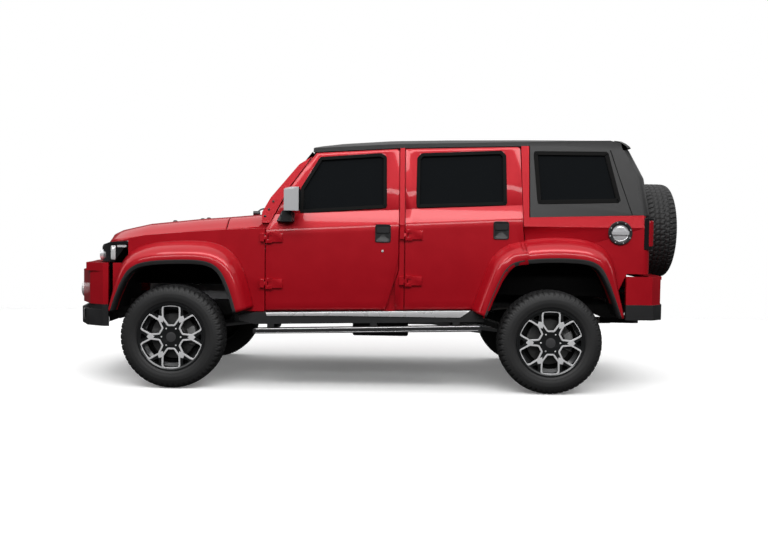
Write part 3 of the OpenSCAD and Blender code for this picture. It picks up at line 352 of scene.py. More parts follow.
def tyre_grid(centre, out):
    """Outer skin of a tyre. Radius and offset follow the moulded section; in the tread zone the
    radius drops by the groove depth where zigzag main grooves or cross slots pass."""
    pitches, per_pitch, half = 56, 8, 0.125
    section = np.array([(0.2315, 0.100), (0.240, 0.103), (0.2475, 0.108), (0.256, 0.115),
                        (0.2635, 0.1195), (0.270, 0.1192), (0.278, 0.1222), (0.293, 0.125),
                        (0.312, 0.1245), (0.328, 0.1222), (0.340, 0.119), (0.352, 0.1135),
                        (0.3615, 0.1065), (0.3685, 0.097), (0.3725, 0.086), (0.3750, 0.074),
                        (0.3762, 0.062), (0.3768, 0.048), (0.377, 0.030), (0.377, 0.010)])
    run = np.r_[0, np.cumsum(np.hypot(*np.diff(section, axis=0).T))]
    fine = np.interp(np.linspace(0, run[-1], 38), run, np.arange(len(section)))
    radius = np.interp(fine, np.arange(len(section)), section[:, 0])
    offset = np.interp(fine, np.arange(len(section)), section[:, 1])
    radius, offset = np.r_[radius, radius[::-1]], np.r_[offset, -offset[::-1]]
    turn = np.arange(pitches * per_pitch)[:, None] / per_pitch
    zigzag = 0.0035 * (np.abs((turn * 2) % 2 - 1) * 2 - 1)
    wide = np.abs(offset)[None, :]
    main = sum(np.exp(-((offset[None, :] - c - zigzag) / 0.0050) ** 4) for c in
               (-0.058, -0.020, 0.020, 0.058))
    shift = np.where(wide > 0.058, 0.0, np.where(wide > 0.020, 0.5, 0.25)) + 6 * offset[None, :]
    slot = (((turn + shift) % 1) < 0.26) * np.where(wide > 0.050, 1.0, 0.55)
    tread = 1 / (1 + np.exp((0.350 - radius[None, :]) / 0.002))
    depth = 0.0085 * np.clip(main + slot, 0, 1) * tread
    shoulder = 0.0022 * (((turn * 2) % 1) < 0.4) * np.exp(-((radius[None, :] - 0.343) / 0.009) ** 4)
    on_wall = (radius[None, :] > 0.30) * (radius[None, :] < 0.33)
    rings = 0.0007 * np.sin(radius[None, :] * 1150) * on_wall
    r = radius[None, :] - depth
    w = np.sign(offset)[None, :] * (wide - shoulder - rings)
    inner = np.array([(0.2330, -0.086), (0.300, -0.108), (0.360, -0.080), (0.364, 0.0),
                      (0.360, 0.080), (0.300, 0.108), (0.2330, 0.086)])
    r = np.concatenate([r, np.repeat(inner[None, :, 0], len(turn), 0)], 1)
    w = np.concatenate([w, np.repeat(inner[None, :, 1], len(turn), 0)], 1)
    out = np.asarray(out, float)
    across = np.array([0, 1.0, 0]) if abs(out[0]) > 0.5 else np.array([1.0, 0, 0])
    angle = turn * 2 * np.pi / pitches
    round_ = np.cos(angle)[:, :, None] * across + np.sin(angle)[:, :, None] * [0, 0, 1]
    return np.asarray(centre) + r[:, :, None] * round_ + w[:, :, None] * out


rubber = finish("tyre_rubber", (0.012, 0.012, 0.0125), rough=0.62, grain=0.35, grain_scale=700,
                mottle=0.18, mottle_scale=5)
low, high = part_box("spare_wheel")
spare_centre = np.array([(low.x + high.x) / 2 - front_axle - 0.0002, 0, (low.z + high.z) / 2])
wheel_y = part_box("front_right_tyre")[0].y + 0.125
wheels = [(f"{end}_{side}", f"{end}_{side}_wheel", np.array([0 if end == "front" else wheelbase,
                                                            y, wheel_radius]), (0, np.sign(y), 0))
          for end in ("front", "rear") for side, y in (("left", -wheel_y), ("right", wheel_y))]
wheels.append(("spare", "tailgate", spare_centre, (1, 0, 0)))
for name, body, centre, out in wheels:
    tyre = build(name + "_tread", [(tyre_grid(centre, out), 0, True, True)], body, "tyre_rubber",
                 [rubber], sharp=50)
    if name != "spare":
        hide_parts(name + "_tyre")

# Wheels. One-piece cast alloy, 18 inch, lacquered dark; the frames of the six windows, the Y
# junctions of the arms and the flange lip are machined bright. Six nuts and a plain cap.
dark_alloy = finish("dark_alloy", (0.018, 0.019, 0.020), metallic=0.5, rough=0.32, grain=0.06,
                    grain_scale=900, Coat_Weight=0.6, Coat_Roughness=0.08)
# Partly painted reflection: the machined alloy is only partly metallic, so its pale base colour
# lights up where real machined metal would show reflected studio light.
bright_alloy_and_painted_reflection = finish("machined_alloy_and_painted_reflection", (0.74, 0.74, 0.75), metallic=0.25, rough=0.30, grain=0.12,
                      grain_scale=1300, mottle=0.03)
cap_black = finish("cap_black", (0.05, 0.05, 0.052), rough=0.3, grain=0.1, Coat_Weight=0.4)
disc_steel = finish("disc_steel", (0.16, 0.16, 0.16), metallic=0.9, rough=0.33, grain=0.25,
                    grain_scale=600, mottle=0.12)


def window_frame(centre, out, turn):
    """Machined band round one window: the window's outline, 5 mm outside its edge, swept by a
    low bevelled strip 12.4 mm wide."""
    outline = np.array([(0.0845, -0.024), (0.0845, 0.024), (0.137, 0.0610), (0.205, 0.0625),
                        (0.2185, 0.0585), (0.2255, 0.050), (0.2285, 0.0), (0.2255, -0.050),
                        (0.2185, -0.0585), (0.205, -0.0625), (0.137, -0.0610)])
    closed = np.r_[outline, outline[:1]]
    run = np.r_[0, np.cumsum(np.hypot(*np.diff(closed, axis=0).T))]
    at = np.linspace(0, run[-1], 89)[:-1]
    path = np.stack([np.interp(at, run, closed[:, k]) for k in (0, 1)], 1)
    path = (path + np.roll(path, 1, 0) + np.roll(path, -1, 0)) / 3
    ahead_ = np.roll(path, -1, 0) - np.roll(path, 1, 0)
    normal = np.stack([ahead_[:, 1], -ahead_[:, 0]], 1) / np.hypot(*ahead_.T)[:, None]
    strip = np.array([(-0.0062, 0.0925), (-0.0062, 0.1035), (-0.0047, 0.1050), (0.0047, 0.1050),
                      (0.0062, 0.1035), (0.0062, 0.0925)])
    flat = path[:, None, :] + normal[:, None, :] * strip[None, :, :1]
    offset = np.broadcast_to(strip[None, :, 1], flat.shape[:2])
    return polar(*rounded(flat, turn), offset, centre, out)


def rounded(flat, turn):
    """Radius and angle of flat points about the hub, the angle moved on by a turn."""
    return np.hypot(flat[..., 0], flat[..., 1]), np.arctan2(flat[..., 1], flat[..., 0]) + turn


def polar(radius, angle, offset, centre, out):
    """Points at a radius and angle round an axis, and an offset along it."""
    out = np.asarray(out, float)
    across = np.array([0, 1.0, 0]) if abs(out[0]) > 0.5 else np.array([1.0, 0, 0])
    return (np.asarray(centre) + (radius * np.cos(angle))[..., None] * across
            + (radius * np.sin(angle))[..., None] * [0, 0, 1] + offset[..., None] * out)


def junction(centre, out, turn):
    """Machined plate where an arm forks: a kite with hollow sides, as a fan of rings that step
    down round its rim."""
    kite = np.array([(0.120, 0.0), (0.1335, -0.0135), (0.150, -0.0215), (0.165, -0.0150),
                     (0.178, 0.0), (0.165, 0.0150), (0.150, 0.0215), (0.1335, 0.0135)])
    middle = kite.mean(0)
    share = np.array([0.0, 0.5, 0.94, 1.0, 1.0])[:, None, None]
    flat = middle + (kite - middle)[None] * share
    offset = np.array([0.1052, 0.1052, 0.1052, 0.1040, 0.0925])[:, None] * np.ones((1, len(kite)))
    return polar(*rounded(flat, turn), offset, centre, out)


for name, body, centre, out in wheels:
    sixths = np.arange(6) * np.pi / 3
    patches = [(window_frame(centre, out, np.pi / 6 + a), 0, True, True) for a in sixths]
    patches += [(junction(centre, out, a), 0, False, True) for a in sixths]
    patches.append((turned([(0.2415, 0.100), (0.2415, 0.1085), (0.2435, 0.1118), (0.2465, 0.1118),
                            (0.2490, 0.1085), (0.2490, 0.103)], centre, out, 96), 1, True, True))
    if name == "spare":
        softened("front_left_rim", [dark_alloy], edge=0.0015, stands_for="spare_wheel",
                 move=lambda p: spare_centre + (p - wheels[0][2])[:, [1, 0, 2]] * [-1, 1, 1])
    else:
        softened(name + "_rim", [dark_alloy], edge=0.0015)
    build(name + "_machined_faces", patches, body, "alloy", [bright_alloy_and_painted_reflection, dark_alloy],
          sharp=25)
    cap = turned([(0.0, 0.1045), (0.020, 0.1042), (0.038, 0.1025), (0.046, 0.1000),
                  (0.0505, 0.0960), (0.0515, 0.0900), (0.0, 0.0900)], centre, out, 48)
    ring = turned([(0.0515, 0.094), (0.0515, 0.0975), (0.0540, 0.0985), (0.0565, 0.0975),
                   (0.0565, 0.094)], centre, out, 48)
    nuts = []
    for a in sixths:
        middle = polar(np.array(0.06985), np.array(a), np.array(0.0), centre, out)
        nut = turned([(0.0, 0.1040), (0.0055, 0.1035), (0.0092, 0.1005), (0.0108, 0.0965),
                      (0.0108, 0.0700), (0.0, 0.0700)], middle, out, 6, first=a)
        nuts.append((nut, 1, True, False))
    build(name + "_cap_and_nuts", [(cap, 0, True, False), (ring, 1, True, True)] + nuts, body,
          "alloy",
          [cap_black, bright_alloy_and_painted_reflection], sharp=40)

# Brakes. Vented cast-iron discs on each hub with a painted two-pot caliper over the rear edge,
# bolted to the knuckle in front and to the axle flange behind.
caliper_grey = finish("caliper_grey", (0.22, 0.22, 0.22), metallic=0.6, rough=0.45, grain=0.4)
for name, body, centre, out in wheels[:4]:
    disc = [(0.0710, 0.0430), (0.0860, 0.0430), (0.0870, 0.0240), (0.1630, 0.0240),
            (0.1645, 0.0225), (0.1645, 0.0165), (0.1500, 0.0160), (0.1500, 0.0130),
            (0.1645, 0.0125), (0.1645, 0.0050), (0.1630, 0.0040), (0.0840, 0.0040),
            (0.0835, 0.0390), (0.0710, 0.0390)]
    build(name + "_brake_disc", [(turned(disc, centre, out, 72), 0, True, True)], body, "alloy",
          [disc_steel], sharp=30)
    holder = "chassis" if name.startswith("rear") else name.split("_")[1] + "_knuckle"
    shield = [(0.0860, -0.0180), (0.1900, -0.0180), (0.2020, -0.0060), (0.2040, -0.0060),
              (0.1910, -0.0200), (0.0860, -0.0200)]
    build(name + "_splash_shield", [(turned(shield, centre, out, 64), 0, True, True)], holder,
          "frame_black", [chassis_black], sharp=30)
    jaw = [(0.104, 0.0270), (0.112, 0.0480), (0.150, 0.0520), (0.172, 0.0440), (0.1800, 0.0250),
           (0.1800, -0.0060), (0.170, -0.0260), (0.130, -0.0280), (0.112, -0.0200), (0.106, 0.0010),
           (0.150, 0.0010), (0.1700, 0.0040), (0.1700, 0.0250), (0.150, 0.0270)]
    grid = turned(jaw, centre, out, 15, first=np.radians(-24), span=np.radians(52))
    middle = grid.mean(1, keepdims=True)
    grid = np.concatenate([middle[:1] + 0 * grid[:1], grid, middle[-1:] + 0 * grid[-1:]])
    build(name + "_caliper", [(grid, 0, False, True)], holder, "alloy", [caliper_grey], edge=0.003)


# Side doors. Pressed steel shells 76 mm deep on outside strap hinges: a flat lower panel with a
# low crease, a belt crease that rises to the rear, a chamfer above it and a leaning window frame.
lean = math.tan(math.radians(10.1))


def side_plane(z):
    """Half width of the body at a height: upright to the waist, leaning in above it."""
    return 0.835 - np.maximum(0, np.asarray(z) - 1.215) * lean


def belt(x):
    """Height of the belt crease."""
    return 1.169 + 0.056 * (np.asarray(x) - 0.737)


def window_foot(x):
    """Height where the chamfer meets the window frame."""
    return 1.289 + 0.0498 * (np.asarray(x) - 0.951)


def rows_between(front, rear, levels):
    """Points across a door from its front edge to its rear edge, one row for each level. front
    and rear are outlines of (x, z) points rising with z; a level is its height line and its
    half width line. Four rounds settle where a sloping line meets the two outlines."""
    def edge_at(outline, z):
        return np.interp(z, [p[1] for p in outline], [p[0] for p in outline])

    across = np.linspace(0, 1, 17)
    grid = []
    for height, width in levels:
        middle = height(0.5 * (front[0][0] + rear[0][0]))
        x = edge_at(front, middle) * (1 - across) + across * rear[0][0]
        for _ in range(4):
            z = height(x)
            x = edge_at(front, z) * (1 - across) + edge_at(rear, z) * across
        grid.append(np.stack([x, width(x, z), z], 1))
    return np.array(grid)


def door_levels():
    """The height and half-width lines of a door skin from the sill to the window's foot."""
    low_crease = lambda x: 0.711 + 0.0314 * (x - 0.646)
    crest = 0.8420
    return [(lambda x: 0.5775 + 0.02 * (x - 0.684), lambda x, z: 0.8330 + 0 * x),
            (lambda x: 0.640 + 0.025 * (x - 0.684), lambda x, z: 0.8358 + 0 * x),
            (lambda x: low_crease(x) - 0.006, lambda x, z: 0.8384 + 0 * x),
            (lambda x: low_crease(x) + 0.006, lambda x, z: 0.8396 + 0 * x),
            (lambda x: 0.5 * (low_crease(x) + belt(x)), lambda x, z: 0.8416 + 0 * x),
            (lambda x: belt(x) - 0.05, lambda x, z: crest + 0 * x),
            (lambda x: belt(x) - 0.003, lambda x, z: crest - 0.0004 + 0 * x),
            (lambda x: belt(x) + 0.004, lambda x, z: crest - 0.0030 + 0 * x),
            (lambda x: window_foot(x), lambda x, z: side_plane(z) + 0.002)]


def frame_ring(outer, inner):
    """Window frame as a sheet lofted from the door's upper outline to the window's outline, on
    the leaning plane; both lines have as many points."""
    outer, inner = np.asarray(outer, float), np.asarray(inner, float)
    t = np.array([0, 0.5, 1.0])[None, :, None]
    flat = outer[:, None] * (1 - t) + inner[:, None] * t
    return np.stack([flat[..., 0], side_plane(flat[..., 1]) + 0.002, flat[..., 1]], -1)


def on_side(grid, side):
    """Puts points given by their half width on the left (-1) or right (1) side."""
    return np.asarray(grid) * [1, side, 1]


def swept(path, width, low_, high_, side, closed=True):
    """Low strip along a line of (x, z) on the body side: its section spans the width and stands
    from low_ to high_ outside the skin, with bevelled shoulders."""
    path = np.asarray(path, float)
    ring = np.r_[path, path[:1]] if closed else path
    run = np.r_[0, np.cumsum(np.hypot(*np.diff(ring, axis=0).T))]
    count = max(8, int(run[-1] / 0.022))
    at = np.linspace(0, run[-1], count + 1)[:-1] if closed else np.linspace(0, run[-1], count)
    at = np.unique(np.r_[at, run[:-1] if closed else run])
    line = np.stack([np.interp(at, run, ring[:, k]) for k in (0, 1)], 1)
    step = (np.roll(line, -1, 0) - np.roll(line, 1, 0)) if closed else np.gradient(line, axis=0)
    normal = np.stack([step[:, 1], -step[:, 0]], 1) / np.maximum(np.hypot(*step.T), 1e-9)[:, None]
    h, d = width / 2, min(0.002, width / 5)
    section = np.array([(-h, low_), (-h, high_ - d), (-h + d, high_), (h - d, high_),
                        (h, high_ - d), (h, low_)])
    flat = line[:, None] + normal[:, None] * section[None, :, :1]
    half_width = side_plane(flat[..., 1]) + section[None, :, 1]
    return on_side(np.stack([flat[..., 0], half_width, flat[..., 1]], -1), side)


def plate(x0, x1, z0, z1, y, rise, corner, side, dish=None):
    """Rounded rectangular plate on the body side: rings shrink from its rim to its middle. rise
    is its thickness outwards, dish how deep its middle is pressed in."""
    turn = np.linspace(0, 2 * np.pi, 33)[:-1]
    power = 0.24
    unit = np.stack([np.sign(np.cos(turn)) * np.abs(np.cos(turn)) ** power,
                     np.sign(np.sin(turn)) * np.abs(np.sin(turn)) ** power], 1)
    rings = [(1.0, -0.004), (1.0, rise - corner), (1.0 - corner / (x1 - x0) * 1.2, rise)]
    rings += [(0.80, rise), (0.72, rise - dish), (0.0, rise - dish)] if dish else [(0.0, rise)]
    middle = np.array([(x0 + x1) / 2, (z0 + z1) / 2])
    half = np.array([(x1 - x0) / 2, (z1 - z0) / 2])
    grid = [np.stack([*(middle + unit * half * s).T, np.full(len(turn), y + h)], 1)[:, [0, 2, 1]]
            for s, h in rings]
    return on_side(np.array(grid), side)


seal_rubber = finish("seal_rubber", (0.006, 0.006, 0.006), rough=0.7, grain=0.15, grain_scale=1200,
                     Specular_IOR_Level=0.08)
satin_black = finish("satin_black", (0.014, 0.014, 0.015), rough=0.33, grain=0.12,
                     grain_scale=1400)
# Painted reflection: the chrome is only partly metallic, so its pale base colour lights up where
# real chrome would show the studio's reflections; the rest of its shine is real.
chrome_and_painted_reflection = finish("chrome_and_painted_reflection", (0.72, 0.72, 0.74), metallic=0.45, rough=0.14, rough_spread=0.02,
                mottle=0.01)
cabin_grey = finish("cabin_plastic", (0.035, 0.035, 0.037), rough=0.6, grain=0.4, grain_scale=900)
# Painted shade: the panes are opaque and near-black, standing in for the shaded cabin behind the
# glass; only their gloss is real.
glass_painted_cabin_shade = finish("glass_painted_cabin_shade", (0.006, 0.007, 0.008), rough=0.03, rough_spread=0.01,
                      mottle=0.02, Specular_IOR_Level=0.5)

front_window = [(0.928, 1.300), (0.930, 1.465), (1.062, 1.690), (1.500, 1.724), (1.531, 1.704),
                (1.538, 1.345)]
rear_window = [(1.776, 1.350), (1.779, 1.700), (1.806, 1.728), (2.379, 1.754), (2.405, 1.728),
               (2.411, 1.378)]
doors = {
    "front": dict(
        front=[(0.672, 0.55), (0.672, 1.176), (0.709, 1.215), (0.843, 1.479)],
        rear=[(1.540, 0.575), (1.596, 0.752), (1.639, 0.884), (1.639, 1.5)],
        outer=[(0.7485, 1.2787), (0.843, 1.479), (0.935, 1.605), (1.028, 1.7312), (1.300, 1.7481),
               (1.615, 1.7676), (1.635, 1.7556), (1.639, 1.520), (1.639, 1.3230)],
        inner=[(0.928, 1.2880), (0.930, 1.465), (0.996, 1.578), (1.062, 1.690), (1.281, 1.707),
               (1.500, 1.724), (1.531, 1.704), (1.536, 1.520), (1.538, 1.3182)],
        window=front_window, handle=(1.467, 1.582, 1.082, 1.214)),
    "rear": dict(
        front=[(1.688, 0.55), (1.688, 1.5)],
        rear=[(2.287, 0.575), (2.325, 0.680), (2.383, 0.810), (2.427, 0.890), (2.483, 0.934),
              (2.567, 0.940), (2.559, 1.010), (2.549, 1.115), (2.537, 1.215), (2.535, 1.5)],
        outer=[(1.688, 1.3257), (1.686, 1.500), (1.684, 1.7593), (1.700, 1.7700), (2.000, 1.7797),
               (2.500, 1.7946), (2.519, 1.7832), (2.530, 1.560), (2.5362, 1.3679)],
        inner=[(1.776, 1.3300), (1.778, 1.500), (1.779, 1.700), (1.806, 1.728), (2.090, 1.741),
               (2.379, 1.754), (2.405, 1.728), (2.409, 1.560), (2.411, 1.3617)],
        window=rear_window, handle=(2.324, 2.438, 1.116, 1.248))}
for end, shape in doors.items():
    for side, sign in (("left", -1), ("right", 1)):
        name = f"{end}_{side}_door"

        def recess(points):
            """Draws the CAD door's outer face in by 8 mm, to lie behind the new skin."""
            skin = side_plane(points[:, 2])
            face = np.abs(np.abs(points[:, 1]) - skin) < 0.0015
            points[face, 1] -= sign * 0.008
            return points

        softened(name, [paint, cabin_grey], edge=0.002, move=recess,
                 choose=lambda c: (np.abs(c[:, 1]) < side_plane(c[:, 2]) - 0.070))
        skin = on_side(rows_between(shape["front"], shape["rear"], door_levels()), sign)
        ring = on_side(frame_ring(shape["outer"], shape["inner"]), sign)
        build(name + "_skin", [(skin, 0, False, False), (ring, 0, False, False)], name,
              "red_paint", [paint], hint=(0, sign, 0), wall=0.006, edge=0.0022, sharp=24)
        build(name + "_window_seal",
              [(swept(shape["window"], 0.026, -0.012, 0.0055, sign), 0, True, True)], name,
              "cladding_plastic", [seal_rubber])
        x0, x1, z0, z1 = shape["handle"]
        grip = plate(x0 + 0.010, x1 - 0.010, z0 + 0.070, z1 - 0.016, 0.8465, 0.009, 0.003, sign)
        build(name + "_handle",
              [(plate(x0, x1, z0, z1, 0.8425, 0.006, 0.003, sign, dish=0.003), 0, False, True),
               (grip, 0, False, True)], name, "cladding_plastic", [satin_black], sharp=40)
        # The door panes get the near-black glass: painted shade of the cabin behind them.
        pane = f"{end}_{side}_glass"
        nodes[pane].data.materials.clear()
        nodes[pane].data.materials.append(glass_painted_cabin_shade)
for side, sign in (("left", -1), ("right", 1)):
    lock = turned([(0.0, 0.0060), (0.0065, 0.0058), (0.0088, 0.0040), (0.0095, -0.002),
                   (0.0, -0.002)], (1.523, sign * 0.8405, 1.020), (0, sign, 0), 24)
    build(f"front_{side}_door_lock", [(lock, 0, True, False)], f"front_{side}_door",
          "mirror_chrome", [chrome_and_painted_reflection])

# Arch flares. Bolt-on mouldings painted with the body: a broad face that rolls over into a lip
# left in bare dark grain, and fairs back into the body side above the wheel.
lip_grey = finish("lip_grey", (0.034, 0.034, 0.035), rough=0.6, grain=0.5, grain_scale=900)
arches = {
    "front": (0.0, [(-424, 560), (-398, 640), (-345, 765), (-290, 845), (-220, 884), (-100, 902),
                    (100, 910), (225, 906), (300, 884), (352, 832), (405, 715), (452, 560)],
              [45, 55, 80, 120, 150, 165, 168, 170, 172, 165, 150, 140]),
    "rear": (wheelbase, [(-466, 560), (-420, 680), (-362, 810), (-318, 890), (-262, 934),
                         (-100, 952), (60, 957), (220, 950), (300, 928), (348, 880), (410, 760),
                         (488, 560)],
             [110, 118, 130, 150, 165, 178, 182, 178, 165, 130, 85, 50])}


def flare_grid(end):
    """A flare's rings along its arch. The arch line is a smooth curve through its points; each
    ring leaves it square, and half width is a rolled section of the share of the flare's width."""
    at, line, widths = arches[end]
    line, widths = np.array(line) / 1000, np.array(widths) / 1000
    knots = np.arange(len(line))
    t = np.linspace(0, len(line) - 1, 89)
    line = np.stack([np.interp(t, knots, line[:, k]) for k in (0, 1)], 1)
    widths = np.interp(t, knots, widths)
    for _ in range(14):
        line[1:-1] = 0.25 * line[:-2] + 0.5 * line[1:-1] + 0.25 * line[2:]
        widths[1:-1] = 0.25 * widths[:-2] + 0.5 * widths[1:-1] + 0.25 * widths[2:]
    step = np.gradient(line, axis=0)
    normal = np.stack([-step[:, 1], step[:, 0]], 1) / np.hypot(*step.T)[:, None]
    share = np.array([0.0, 0.0, 0.02, 0.06, 0.10, 0.13, 0.15, 0.20, 0.28, 0.38, 0.48, 0.58, 0.67,
                      0.75, 0.82, 0.89, 0.95, 1.0])
    half = np.array([0.8356, 0.930, 0.9490, 0.9535, 0.9560, 0.9590, 0.9610, 0.9622, 0.9618, 0.9590,
                     0.9545, 0.9460, 0.9330, 0.9150, 0.8930, 0.8660, 0.8450, 0.8356])
    flat = line[:, None] + normal[:, None] * (widths[:, None] * share)[..., None] + [at, 0]
    return np.stack([flat[..., 0], np.broadcast_to(half, flat.shape[:2]), flat[..., 1]], -1)


def flare_piece(name, grid, body, sign):
    """Makes a flare from its rings: bare lip up to the eighth point of the section, then paint."""
    grid = on_side(grid, sign)
    build(name, [(grid[:, :8], 1, False, False), (grid[:, 7:], 0, False, False)], body,
          "red_paint", [paint, lip_grey], sharp=35, wall=0.003)


door_cut = 2.5705
for side, sign in (("left", -1), ("right", 1)):
    flare_piece(f"front_{side}_flare", flare_grid("front"), "chassis", sign)
    rear_rings = flare_grid("rear")
    seam = np.argmin(np.abs(rear_rings[:, 0, 0] - door_cut))
    flare_piece(f"rear_{side}_door_flare", rear_rings[:seam], f"rear_{side}_door", sign)
    flare_piece(f"rear_{side}_flare", rear_rings[seam:], "chassis", sign)
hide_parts("fender_flares")

# Bonnet, roof and hard top. The bonnet is pressed steel painted with the body; the roof and
# hard top are grained black mouldings with rounded corners and bonded quarter windows.
hard_top_black = finish("hard_top_grain", (0.014, 0.014, 0.0145), rough=0.52, grain=0.45,
                        grain_scale=1100, mottle=0.08)
softened("bonnet", [paint], edge=0.010, steps=3)


def tuck(points):
    """Lowers the roof's rear end, to run into the sloping back."""
    share = np.clip((points[:, 0] - 3.16) / 0.10, 0, 1) * (points[:, 2] > 1.80)
    points[:, 2] -= 0.022 * share ** 2
    return rake(points)


softened("hard_top", [hard_top_black], edge=0.012, steps=3, move=tuck)
# The quarter windows get the same near-black glass, the cabin's shade painted in.
nodes["fixed_glass"].data.materials.clear()
nodes["fixed_glass"].data.materials.append(glass_painted_cabin_shade)
lip = np.array([(3.235, 1.850), (3.262, 1.847), (3.300, 1.830), (3.330, 1.808), (3.336, 1.794),
                (3.300, 1.790), (3.235, 1.800)])
lip = np.array([np.stack([lip[:, 0] - 0.03 * (abs(y) > 0.72), np.full(7, y), lip[:, 1]], 1)
                for y in (-0.728, -0.71, 0.0, 0.71, 0.728)])
build("roof_rear_lip", [(lip, 0, False, True)], "chassis", "hard_top_black", [hard_top_black],
      edge=0.004)
quarter = [(2.659, 1.392), (2.633, 1.752), (3.150, 1.754), (3.233, 1.410)]
for side, sign in (("left", -1), ("right", 1)):
    build(f"{side}_quarter_seal", [(swept(quarter, 0.030, -0.012, 0.0045, sign), 0, True, True)],
          "chassis", "cladding_plastic", [seal_rubber])
    seam = [(3.330, 1.309), (3.235, 1.600), (3.180, 1.780)]
    strip = swept(seam, 0.007, -0.004, 0.0012, sign, closed=False)
    build(f"{side}_corner_seam", [(strip, 0, False, False)], "chassis", "cladding_plastic",
          [seal_rubber])

# Windscreen trim. Two wiper arms parked on the glass, washer jets and bump stops on the
# bonnet, and the dark screws that hold the screen frame's brackets; the black rubber surround
# is not built.
screen_foot, screen_head = np.array([0.648, 1.292]), np.array([0.994, 1.742])


def tube(points, radius, sides=8):
    """Round bar along a smooth line through points, its ends drawn to a point."""
    points = np.asarray(points, float)
    t = np.linspace(0, len(points) - 1, 8 * len(points))
    line = np.stack([np.interp(t, np.arange(len(points)), points[:, k]) for k in range(3)], 1)
    for _ in range(4):
        line[1:-1] = 0.25 * line[:-2] + 0.5 * line[1:-1] + 0.25 * line[2:]
    step = np.gradient(line, axis=0)
    step /= np.linalg.norm(step, axis=1)[:, None]
    spare_dir = np.array([0, 0, 1.0]) if abs(step[0, 2]) < 0.8 else np.array([1.0, 0, 0])
    side_ = np.cross(step, spare_dir)
    side_ /= np.linalg.norm(side_, axis=1)[:, None]
    lift = np.cross(side_, step)
    turn = np.linspace(0, 2 * np.pi, sides + 1)[:-1]
    size = np.full(len(line), radius)
    size[0] = size[-1] = radius * 0.05
    turn = turn[None, :, None]
    ring = np.cos(turn) * side_[:, None] + np.sin(turn) * lift[:, None]
    return line[:, None] + ring * size[:, None, None]


along = (screen_head - screen_foot) / np.hypot(*(screen_head - screen_foot))
face = np.array([-along[1], along[0]])


def on_screen(y, up_, off):
    """A point on the windscreen: y across, up_ metres up the glass, off metres outside it."""
    x, z = screen_foot + along * up_ + face * off
    return [x, y, z]


for side, y, reach in (("left", -0.52, 0.50), ("right", 0.10, 0.46)):
    arm = [[0.560, y, 1.296], [0.590, y + 0.01, 1.318], on_screen(y + 0.04, 0.03, 0.022),
           on_screen(y + 0.22, 0.07, 0.020), on_screen(y + 0.30, 0.08, 0.018)]
    blade = [on_screen(y - 0.06, 0.045, 0.009), on_screen(y + reach, 0.105, 0.009)]
    pivot = turned([(0, 0.022), (0.014, 0.020), (0.018, 0.010), (0.018, -0.03), (0, -0.03)],
                   (0.560, y, 1.285), (1, 0, 0), 18)
    build(f"{side}_wiper",
          [(tube(arm, 0.006), 0, False, True), (tube(blade, 0.0055), 0, False, True),
           (pivot, 0, True, False)], "chassis", "cladding_plastic", [satin_black])


def dome(x, y, z, radius, height):
    """Low dome standing on a top surface, as rings from its rim to its crown."""
    angle = np.linspace(0, 2 * np.pi, 17)[:-1]
    rings = [(1.0, -0.6), (1.0, 0.2), (0.85, 0.65), (0.5, 0.92), (0.0, 1.0)]
    return np.array([np.stack([x + radius * s * np.cos(angle), y + radius * s * np.sin(angle),
                               np.full(16, z + height * h)], 1) for s, h in rings])


studs = [(dome(x, s * y, z, 0.017, 0.011), 0, False, True) for x, y, z in
         ((-0.068, 0.52, 1.214), (0.151, 0.34, 1.240), (0.151, 0.56, 1.232)) for s in (-1, 1)]
screws = []
for sign in (-1, 1):
    for x, z in ((0.716, 1.262), (0.742, 1.312), (0.772, 1.370)):
        screws.append((turned([(0.0, 0.0055), (0.0060, 0.0050), (0.0085, 0.0030), (0.0090, -0.004),
                               (0.0, -0.004)], (x - 0.052, sign * (side_plane(z) + 0.001), z),
                              (0, sign, 0), 12), 0, True, False))
build("screen_pillar_screws", screws, "chassis", "cladding_plastic", [satin_black], sharp=40)
build("bonnet_jets", studs, "bonnet", "cladding_plastic", [satin_black], sharp=40)

